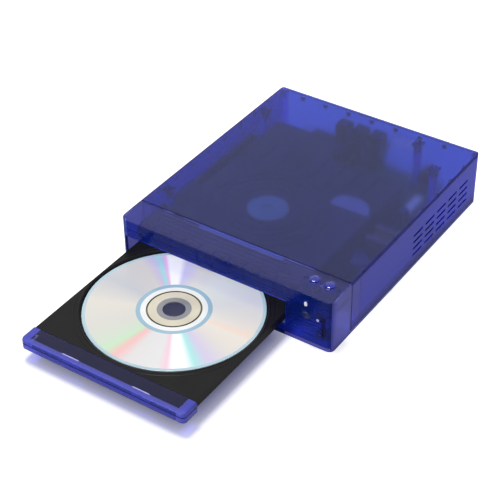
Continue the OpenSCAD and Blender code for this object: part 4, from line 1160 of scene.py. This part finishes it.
@dataclass
class FrontControls(SubAssembly):
    """Rings round both buttons, the status lamp's lens, and the receiver's dome with a painted glint pin."""

    roof_crown: float = 1.2 * MM
    ring_inner: float = 3.62 * MM
    ring_outer: float = 4.3 * MM
    ring_height: float = 0.2 * MM
    ring_sink: float = 0.3 * MM
    ring_squareness: float = 0.7
    ring_steps: int = 64
    arch_steps: int = 9
    dome_radius: float = 2.5 * MM
    dome_rise: float = 0.7 * MM
    dome_sink: float = 0.6 * MM
    dome_steps: int = 48
    cap_steps: int = 12
    pin_radius: float = 1.0 * MM
    pin_steps: int = 32
    pin_from_dome: Span = (9.0 * MM, -0.6 * MM)
    lens_half: Span = (1.12 * MM, 1.8 * MM)
    lens_drop: float = 1.9 * MM
    lens_squareness: Span = (0.55, 0.7)
    lens_steps: int = 48

    LENS_LAYERS = ((0.4, 0.3), (0.4, 0.8), (0.0, 0.97), (-0.3, 0.9), (-0.5, 0.66), (-0.58, 0.3), (-0.6, 0.03))

    def build(self) -> None:
        """Makes each small piece where the frame's own control stands."""
        for name in ("power_button", "eject_button"):
            self.build_ring(name)
        self.build_dome()
        self.build_lens()

    def build_ring(self, button: str) -> None:
        """A low dark ring round one button, square to the sloping strip.

        Its section, turned about the button, is an arch: middle + half * cos a out and height * sin a ^ s
        up, for squareness s and a from nought to half a turn, on a straight foot.

        Args:
            button: Name of the button's node.
        """
        x, y = middle_of(button)
        low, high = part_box("front_panel")
        slope = self.roof_crown / (high.y - low.y)
        centre = Vector((x, y, high.z - self.roof_crown + slope * (y - low.y)))
        turn = np.linspace(0, math.pi, self.arch_steps)
        middle, half = (self.ring_inner + self.ring_outer) / 2, (self.ring_outer - self.ring_inner) / 2
        rise = self.ring_height * np.sin(turn) ** self.ring_squareness
        arch = np.stack([middle + half * np.cos(turn), rise], axis=1)
        foot = np.array([[self.ring_inner, -self.ring_sink], [self.ring_outer, -self.ring_sink]])
        points = lathe(np.concatenate([arch, foot]), self.ring_steps, centre, Vector((0, -slope, 1)))
        self.make_piece(f"{button}_ring", points, grid_faces(points, Ends.JOINED), "chassis", "blue_shell",
                        "ring_navy")

    def build_dome(self) -> None:
        """Smoked dome over the infrared receiver, and a small pale pin of the same shape: a painted glint.

        The section is a quarter ellipse on a short wall, radius * sin a out and rise * cos a ahead, turned
        about a line that points ahead.
        """
        low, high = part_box("ir_receiver")
        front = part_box("front_panel")[0].y
        x, z = middle_of("ir_receiver")[0], low.z + (high.x - low.x) / 2
        turn = np.linspace(0, math.pi / 2, self.cap_steps)
        cap = np.stack([self.dome_radius * np.sin(turn), self.dome_rise * np.cos(turn)], axis=1)
        wall = np.array([[self.dome_radius, -self.dome_sink], [0, -self.dome_sink]])
        dome = np.concatenate([cap, wall])
        pin = dome * self.pin_radius / self.dome_radius
        across, up = self.pin_from_dome
        pieces = (
            ("receiver_dome", dome, self.dome_steps, (x, front, z), "ir_window", "receiver_smoke"),
            # Painted glint: a small pale pin beside the dome.
            ("front_light_pin", pin, self.pin_steps, (x + across, front, z + up), "led_white",
             "pin_pale_violet"),
        )
        for name, profile, steps, place, slot, finish in pieces:
            points = lathe(profile, steps, Vector(place), Vector((0, -1, 0)))
            self.make_piece(name, points, grid_faces(points, Ends.OPEN), "chassis", slot, finish)

    def build_lens(self) -> None:
        """White status lens: an upright pill with a domed face.

        Each layer is a superellipse, so its sides are nearly straight and its corners round. LENS_LAYERS
        holds the depth in millimetres and the share of the full size of each.
        """
        x, front = middle_of("status_led")[0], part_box("front_panel")[0].y
        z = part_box("status_led")[1].z - self.lens_drop
        turn = full_turn(self.lens_steps)
        c, s = np.cos(turn), np.sin(turn)
        pill_x = self.lens_half[0] * np.sign(c) * np.abs(c) ** self.lens_squareness[0]
        pill_z = self.lens_half[1] * np.sign(s) * np.abs(s) ** self.lens_squareness[1]
        layers = ((front + depth * MM, share) for depth, share in self.LENS_LAYERS)
        points = np.stack([
            np.stack([x + share * pill_x, np.full_like(turn, y), z + share * pill_z], axis=1)
            for y, share in layers
        ])
        self.make_piece("status_lens", points, grid_faces(points, Ends.CAPPED), "chassis", "led_white",
                        "lens_milk")


# ---------------------------------------------------------------- finishes of the frame's nodes


@dataclass
class Dresser:
    """Gives every node of the frame its finish.

    A zone that runs to a moulding's end stops a margin past it, and one that leaves out the faces on its
    border stops a hair short of them.
    """

    wall: float = 2.0 * MM
    margin: float = 1.0 * MM
    hair: float = 0.04 * MM
    line: float = 0.6 * MM
    rib_depth: float = 7.0 * MM
    side_band: float = 10.0 * MM
    # Painted shade: the walls darken towards the foot, by height above it.
    foot_painted_shade: tuple[tuple[float, str], ...] = (
        (7.5 * MM, "#3A3CB4"), (4.2 * MM, "#2C2C98"), (1.4 * MM, "#1E1E60"),
    )
    # A stretch of painted light on the front panel's top, by the top cover.
    lap_half: float = 33 * MM
    lap_depth: float = 4.4 * MM
    # The front panel's lip along its foot, painted pale as light.
    lip: float = 3.0 * MM
    lip_from: float = 48 * MM
    # A band of painted shade beside the lamp and receiver block, near each end of the front.
    painted_shade_x: Span = (75 * MM, 79 * MM)
    painted_shade_z: Span = (12 * MM, 28 * MM)
    # The front panel's rounded corners, painted pale as light.
    corner: float = 1.6 * MM
    corner_drop: float = 3 * MM
    # The door's ends and brow, painted pale as light.
    door_end: float = 6 * MM
    door_brow: float = 3.4 * MM
    every: float = 2.0
    all_but_flat: float = 0.97

    CLOTHES = {
        "roof_clear_blue": ("top_cover",),
        "front_clear_blue": ("front_panel",),
        "base_clear_blue": ("base_cover",),
        "rear_clear_blue": ("rear_panel",),
        "button_clear_blue": ("power_button", "eject_button"),
        "foot_rubber": ("rubber_feet", "drive_belt", "turntable_pad"),
        "zinc_screw": ("case_screws", "loader_screws", "board_screws"),
        "loader_black_abs": ("loader_frame", "loader_top_plate"),
        "tray_satin_black": ("tray",),
        "clamp_pale_abs": ("clamp_puck", "clamp_ring"),
        "ground_steel": ("guide_rods", "lead_screw"),
        "motor_can_steel": ("load_motor", "sled_motor", "spindle_motor"),
        "gear_white_acetal": ("motor_pulley", "belt_wheel", "drive_gear", "lift_cam"),
        "stamped_steel": ("deck_plate",),
        "hub_black_abs": ("turntable",),
        "sled_zinc_casting": ("pickup_sled",),
        "lens_coated_glass": ("pickup_lens",),
        "board_green_mask": ("main_board", "power_board", "control_board"),
        "chip_epoxy": ("board_chips", "tact_switches", "power_inlet"),
        "black_anodised_fins": ("heat_sink",),
        "tinned_can": ("shield_can", "video_socket"),
        "capacitor_sleeve": ("board_capacitors", "power_capacitors"),
        "jack_black_and_brass": ("av_jacks",),
        "transformer_varnish": ("transformer",),
        "ribbon_pvc": ("board_ribbon",),
        "led_body_smoke": ("status_led",),
        "receiver_smoke": ("ir_receiver",),
    }

    def cover_zones(self) -> tuple[TintZone, ...]:
        """Zones of the top cover: painted shade on the ribs and tabs under the roof, a painted paler band at
        the walls' front, painted shade towards the walls' foot, a painted dark top edge, and painted shade in
        the vent slots.

        Returns:
            The zones.
        """
        low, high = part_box("top_cover")
        hair, line, margin = self.hair, self.line, self.margin
        inner_x, roof_z, band_y = high.x - self.wall, high.z - self.wall, low.y + self.side_band
        wall_x, all_x = (inner_x, high.x + margin), (-margin, high.x + margin)
        all_y, from_foot = (low.y - margin, high.y + margin), low.z - margin
        return (
            # Painted shade: navy on the ribs, bosses and tabs under the roof.
            TintZone((-margin, inner_x - hair), (low.y + margin, high.y - self.wall - hair),
                     (roof_z - self.rib_depth, roof_z + hair)),
            # Painted light: a paler violet band along the front of each side wall.
            TintZone(wall_x, (low.y - margin, band_y), (from_foot, roof_z), colour="#5654CC"),
            # Painted shade: bands darker towards the foot of the walls, where the floor shades them.
            *(TintZone(wall_x, all_y, (from_foot, low.z + rise), colour=shade)
              for rise, shade in self.foot_painted_shade),
            # Painted shade: a navy line along the walls' top edge.
            TintZone((inner_x + line, high.x + margin), all_y, (roof_z, high.z + margin), limit=self.every),
            TintZone(wall_x, (band_y, band_y + line), (low.z, roof_z)),
            # Painted shade: navy on the faces of the roof's thickness that aren't flat, such as its rounded
            # edges.
            TintZone(all_x, all_y, (roof_z + hair, high.z + margin), limit=self.all_but_flat),
            # Painted shade: navy on the faces cut through the wall by the vent slots.
            TintZone((inner_x + hair, high.x - hair), (low.y - margin, high.y - self.wall), (low.z, roof_z),
                     unlike=Axis.X),
            TintZone(all_x, (low.y - margin, low.y + line), (low.z, high.z + margin), limit=self.every),
        )

    def front_zones(self) -> tuple[TintZone, ...]:
        """Zones of the front panel: painted shade on its inside and on the rims and grooves cut into its
        face, its lap on the top cover with a painted pale stretch of light, the lip along its foot painted
        pale as light with the line above it, a painted shade band near each end, and painted light on the
        rounded corners.

        Returns:
            The zones.
        """
        low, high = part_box("front_panel")
        hair, line, margin = self.hair, self.line, self.margin
        inner_x, inner_y = high.x - self.wall, low.y + self.wall
        floor_z, roof_z = low.z + self.wall, high.z - self.wall
        face_y, lip_x, lip_z = (low.y - margin, low.y + margin), (self.lip_from, inner_x), low.z + self.lip
        return (
            # Painted shade: navy on the ribs and walls inside the panel.
            TintZone((-margin, inner_x - hair), (inner_y + hair, high.y - margin), (floor_z, roof_z + hair)),
            # Painted shade: navy on the rims of the openings and grooves cut into the face.
            TintZone((-margin, inner_x), (low.y + hair, inner_y - hair), (floor_z, roof_z), unlike=Axis.Y),
            # Painted light: a pale stretch on the top, in front of the top cover.
            TintZone((-margin, self.lap_half), (high.y - self.lap_depth, high.y - line),
                     (roof_z, high.z + margin), unlike=Axis.X, colour="#6A74D6", clearness=0.72),
            TintZone((-margin, high.x + margin), (high.y - line, high.y + margin), (low.z, high.z + margin),
                     limit=self.every),
            # Painted light: the lip along the foot in pale violet, with a navy line above it.
            TintZone(lip_x, face_y, (low.z - margin, lip_z), colour="#7070DC", clearness=0.45),
            TintZone(lip_x, face_y, (lip_z, lip_z + line)),
            # Painted shade: a dark band at the side of the lamp and receiver block, on both ends.
            TintZone(self.painted_shade_x, face_y, self.painted_shade_z, colour="#0A1260"),
            # Painted light: pale violet on the rounded front corners.
            TintZone((high.x - self.corner, high.x + margin), (low.y - margin, low.y + self.corner),
                     (low.z + margin, high.z - self.corner_drop), colour="#6E6EDC", clearness=0.5),
        )

    def door_zones(self) -> tuple[TintZone, ...]:
        """Zones of the tray's door: its solid ends and brow, painted paler as light where the tray doesn't
        darken them from behind.

        Returns:
            The zones, counted from the door's middle.
        """
        low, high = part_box("tray_door")
        half, margin = (high.x - low.x) / 2, self.margin
        return (
            # Painted light: the ends, then the brow, in pale violet.
            TintZone((half - self.door_end, half + margin), (low.y - margin, high.y + margin),
                     (low.z - margin, high.z + margin), limit=self.every, colour="#6468D0", clearness=0.5),
            TintZone((-margin, half + margin), (low.y - margin, low.y + self.door_brow),
                     (high.z - margin, high.z + margin), limit=self.every, colour="#6A6ED6", clearness=0.5),
        )

    def finishes(self) -> Finishes:
        """Builds each material once.

        Returns:
            Materials by name.
        """
        recipes = [
            # Clear mouldings. The roof is the clearest, so the dark works show as soft shapes. The front and
            # the door have painted light at their edges, the base hides what is under the boards, the buttons
            # are deep blue drops, and the catches are painted highlights, almost solid streaks of light.
            # Walls get painted light and shade by the way they face.
            TintedPolycarbonate(
                "roof_clear_blue", side_tint="#4248D6", side_clearness=0.52, zones=self.cover_zones(),
            ),
            TintedPolycarbonate(
                "front_clear_blue", tint="#8286D8", streak="#7A7ED0", side_tint="#7474CC",
                face_tint="#2648C4", clearness=0.9, side_clearness=0.55, face_clearness=0.88,
                roughness=0.12, gloss=0.3, ior=1.25, zones=self.front_zones(),
            ),
            TintedPolycarbonate(
                "base_clear_blue", tint="#AAB2FF", streak="#9EA6F6", side_tint="#2A2A78", face_tint="#4A4AA8",
                clearness=0.55, side_clearness=0.5, face_clearness=0.5, roughness=0.3,
            ),
            TintedPolycarbonate(
                "door_clear_blue", tint="#5E60A0", streak="#585A98", side_tint="#585EE6", face_tint="#5058CC",
                clearness=0.93, side_clearness=0.7, face_clearness=0.72, roughness=0.14, gloss=0.3,
                lamp_tint="#8484E4", middle_x=middle_of("tray_door")[0], zones=self.door_zones(),
            ),
            TintedPolycarbonate(
                "button_clear_blue", tint="#4650CC", streak="#3E48C4", side_tint="#202890",
                face_tint="#202890", clearness=0.6, roughness=0.08, ior=1.45,
            ),
            TintedPolycarbonate(
                "rear_clear_blue", tint="#7090DC", streak="#6686D2", side_tint="#7090DC", face_tint="#7090DC",
                clearness=0.8, side_clearness=0.8, face_clearness=0.8, roughness=0.25,
            ),
            TintedPolycarbonate(
                "catch_clear_violet", tint="#C9C8FF", streak="#BDBCFA", side_tint="#C9C8FF",
                face_tint="#C9C8FF", clearness=0.2, side_clearness=0.2, face_clearness=0.2, roughness=0.1,
            ),
            # Small pale parts for a painted glint and a painted lit window, and the gilt sockets at the back.
            MouldedPlastic("pin_pale_violet", "#B9B4EA", "#ABA6E0", roughness=0.2, gloss=0.6, grain=0.02),
            MouldedPlastic("film_frosted_violet", "#7C8294", "#747A8C", roughness=0.5, gloss=0.2, grain=0.05),
            JackShell("jack_black_and_brass", rear_y=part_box("rear_panel")[1].y),
            # Opaque plastics. The blacks part by their sheen: satin tray, brighter lips, matt works, dull
            # rubber. The puck is the one pale shape in the middle of them.
            MouldedPlastic("tray_satin_black", "#0E0C0D", "#141213", roughness=0.4, gloss=0.14, grain_mm=0.6),
            MouldedPlastic("tray_lip_black", "#0B0B0C", "#121112", roughness=0.35, gloss=0.15, grain=0.03),
            MouldedPlastic("loader_black_abs", "#1A191C", "#222124", roughness=0.5, gloss=0.3),
            MouldedPlastic("clamp_pale_abs", "#688482", "#607C7C", roughness=0.5, gloss=0.2),
            MouldedPlastic("gear_white_acetal", "#E4E3DC", "#D6D5CC", roughness=0.35),
            MouldedPlastic("hub_black_abs", "#202024", "#2A2A2E", roughness=0.4),
            MouldedPlastic("chip_epoxy", "#17171A", "#202024", roughness=0.6, grain_mm=0.3),
            MouldedPlastic("foot_rubber", "#151516", "#1E1E20", roughness=0.8, gloss=0.2, grain_mm=0.8,
                           grain=0.4),
            MouldedPlastic("ribbon_pvc", "#C4C4C2", "#B4B4B2", roughness=0.4),
            # Gloss of the front's small controls, from navy rings to the milky lens.
            # Navy for the button rings, and painted shade in the door's groove and along its foot.
            MouldedPlastic("ring_navy", "#10145E", "#181E74", roughness=0.2, gloss=0.6, grain=0.03),
            MouldedPlastic("receiver_smoke", "#182660", "#1E2C68", roughness=0.2, gloss=0.35, grain=0.02),
            MouldedPlastic("led_body_smoke", "#10121C", "#14161F", roughness=0.3, gloss=0.3, grain=0.02),
            MouldedPlastic("lens_milk", "#F4F5FA", "#E9EBF4", roughness=0.2, gloss=0.6, grain=0.02),
            # The disc steps inwards from a pale blue rim over the silver, with its painted reflections, to a
            # blue ring, a white ring, a groove painted dark as shade, a warm hub and a grey bore, all with
            # the same hard shine.
            MouldedPlastic("disc_rim", "#B9D3DF", "#AFCBD9", roughness=0.12, gloss=0.7, grain=0.01),
            MouldedPlastic("disc_mirror_ring", "#9DBED2", "#93B5CB", roughness=0.12, gloss=0.7, grain=0.01),
            MouldedPlastic("disc_inner_white", "#F2F4F4", "#E8EBEC", roughness=0.15, gloss=0.7, grain=0.01),
            MouldedPlastic("disc_stack_ring", "#7C705A", "#6A604C", roughness=0.2, gloss=0.6, grain=0.01),
            MouldedPlastic("disc_hub", "#DDD6C2", "#CFC8B6", roughness=0.16, gloss=0.7, grain=0.01),
            MouldedPlastic("disc_bore", "#8F9096", "#7E8088", roughness=0.14, gloss=0.7, grain=0.01),
            SilveredBand("disc_band", middle=middle_of("disc")),
            # Metals and boards under the roof: bright screws and rods, duller stampings and castings.
            WorkedMetal("zinc_screw", "#C9CBCC", "#A9ABAC", roughness=0.3, line_mm=(0.3, 0.3, 0.3)),
            WorkedMetal("stamped_steel", "#C4C5C4", "#A8AAA9", roughness=0.36),
            WorkedMetal("ground_steel", "#D8D9DA", "#BEBFC0", roughness=0.2, line_mm=(0.2, 0.2, 0.2)),
            WorkedMetal("motor_can_steel", "#B8BABC", "#96989A", roughness=0.3, line_mm=(0.5, 0.5, 6.0)),
            WorkedMetal("sled_zinc_casting", "#6C6D70", "#55565A", roughness=0.5, line_mm=(0.6, 0.6, 0.6),
                        marks=0.5),
            WorkedMetal("black_anodised_fins", "#1C1D20", "#101114", roughness=0.4, line_mm=(4.0, 0.4, 4.0)),
            WorkedMetal("tinned_can", "#CFCFCB", "#B7B7B2", roughness=0.28),
            SolderMask("board_green_mask", mask="#0A2418", track="#123A26", pad="#6E6B60"),
            CanSleeve("capacitor_sleeve"),
            VarnishedCore("transformer_varnish", coil_middle_y=middle_of("transformer")[1]),
            TintedPolycarbonate("lens_coated_glass", tint="#8FA8FF", streak="#7E98F4", clearness=0.7,
                                roughness=0.04, ior=1.5),
        ]
        return {recipe.name: recipe.build() for recipe in recipes}

    def dress(self) -> Finishes:
        """Puts each finish on its nodes.

        Returns:
            Materials by name.
        """
        finishes = self.finishes()
        for finish, nodes in self.CLOTHES.items():
            for node in nodes:
                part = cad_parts[node]
                for slot in part.material_slots:
                    slot.material = finishes[finish]
                if not part.material_slots:
                    part.data.materials.append(finishes[finish])
                LOG.info("%s wears %s", node, finish)
        return finishes


# ---------------------------------------------------------------- studio


@dataclass(frozen=True)
class SoftLamp:
    """A square soft lamp that points at the tray; its place and its side are in metres."""

    name: str
    place: Place
    side: float
    watts: float
    aim: Place = (0.0, -0.02, 0.0)

    def build(self) -> None:
        """Puts the lamp at its place and turns it to its aim."""
        data = bpy.data.lights.new(self.name, "AREA")
        data.shape = "SQUARE"
        data.size = self.side
        data.energy = self.watts
        lamp = bpy.data.objects.new(self.name, data)
        lamp.location = self.place
        towards = Vector(self.aim) - Vector(self.place)
        lamp.rotation_euler = towards.to_track_quat("-Z", "Y").to_euler()
        bpy.context.scene.collection.objects.link(lamp)


@dataclass
class Studio:
    """Pale paper floor, a soft lamp above on the left, a weaker one ahead, an even white surround and the
    camera."""

    floor_half: float = 4.0
    floor_steps: int = 9
    lamps: tuple[SoftLamp, ...] = (
        SoftLamp("key_softbox", (-0.3, 0.02, 1.5), side=0.4, watts=15.0),
        SoftLamp("fill_softbox", (-0.25, -1.25, 0.5), side=0.7, watts=6.0),
    )
    surround: float = 0.32
    azimuth: float = math.radians(34.27)
    elevation: float = math.radians(37.46)
    roll: float = math.radians(-0.69)
    target: Place = (-0.0016, -0.0156, 0.0276)
    distance: float = 0.9706
    lens: float = 104.43
    sensor: float = 36.0
    clip_start: float = 0.01

    def build(self) -> None:
        """Makes the floor, the lamps, the surround and the camera."""
        self.build_floor()
        for lamp in self.lamps:
            lamp.build()
        self.build_surround()
        self.build_camera()
        bpy.context.scene.view_settings.view_transform = "Standard"

    def build_floor(self) -> None:
        """A flat grid at the height of the table."""
        side = np.linspace(-self.floor_half, self.floor_half, self.floor_steps)
        x, y = np.meshgrid(side, side)
        points = np.stack([x, y, np.zeros_like(x)], axis=2)
        mesh = bpy.data.meshes.new("studio_floor")
        mesh.from_pydata(points.reshape(-1, 3), [], grid_faces(points, Ends.OPEN, False))
        mesh.materials.append(StudioFloor("paper_floor").build())
        floor = bpy.data.objects.new("studio_floor", mesh)
        bpy.context.scene.collection.objects.link(floor)

    def build_surround(self) -> None:
        """White surround: full white for camera, glossy and transmission rays, softer where it lights matt
        surfaces."""
        world = bpy.data.worlds.new("white_surround")
        world.use_nodes = True
        tree = world.node_tree
        tree.nodes.clear()
        rays = add_node(tree, "LightPath").outputs
        pair = add_maths(tree, "MAXIMUM", rays["Is Camera Ray"], rays["Is Glossy Ray"])
        seen = add_maths(tree, "MAXIMUM", pair, rays["Is Transmission Ray"])
        strength = add_range(tree, seen, self.surround, 1.0)
        sky = add_node(tree, "Background", {"Color": WHITE, "Strength": strength})
        add_node(tree, "OutputWorld", {"Surface": sky})
        bpy.context.scene.world = world

    def build_camera(self) -> None:
        """Camera on a sphere about the target.

        Its back direction is (sin a cos e, -cos a cos e, sin e) for azimuth a and elevation e, and the
        picture is then rolled about that direction.
        """
        a, e, r = self.azimuth, self.elevation, self.roll
        back = Vector((math.sin(a) * math.cos(e), -math.cos(a) * math.cos(e), math.sin(e)))
        right = Vector((math.cos(a), math.sin(a), 0))
        up = back.cross(right)
        rolled_right = math.cos(r) * right + math.sin(r) * up
        rolled_up = -math.sin(r) * right + math.cos(r) * up
        place = Vector(self.target) + self.distance * back
        turn = Matrix((rolled_right, rolled_up, back)).transposed()
        data = bpy.data.cameras.new("camera")
        data.lens = self.lens
        data.sensor_width = self.sensor
        data.clip_start = self.clip_start
        camera = bpy.data.objects.new("camera", data)
        camera.matrix_world = Matrix.Translation(place) @ turn.to_4x4()
        bpy.context.scene.collection.objects.link(camera)
        bpy.context.scene.camera = camera


def main() -> None:
    """Builds the studio, dresses the frame, and builds every sub-assembly in order."""
    logging.basicConfig(level=logging.INFO, format="%(name)s: %(message)s")
    Studio().build()
    finishes = Dresser().dress()
    for kind in (Disc, TrayDoor, TrayTrim, PlateWindow, FrontControls):
        kind(finishes).build()


if __name__ == "__main__":
    main()
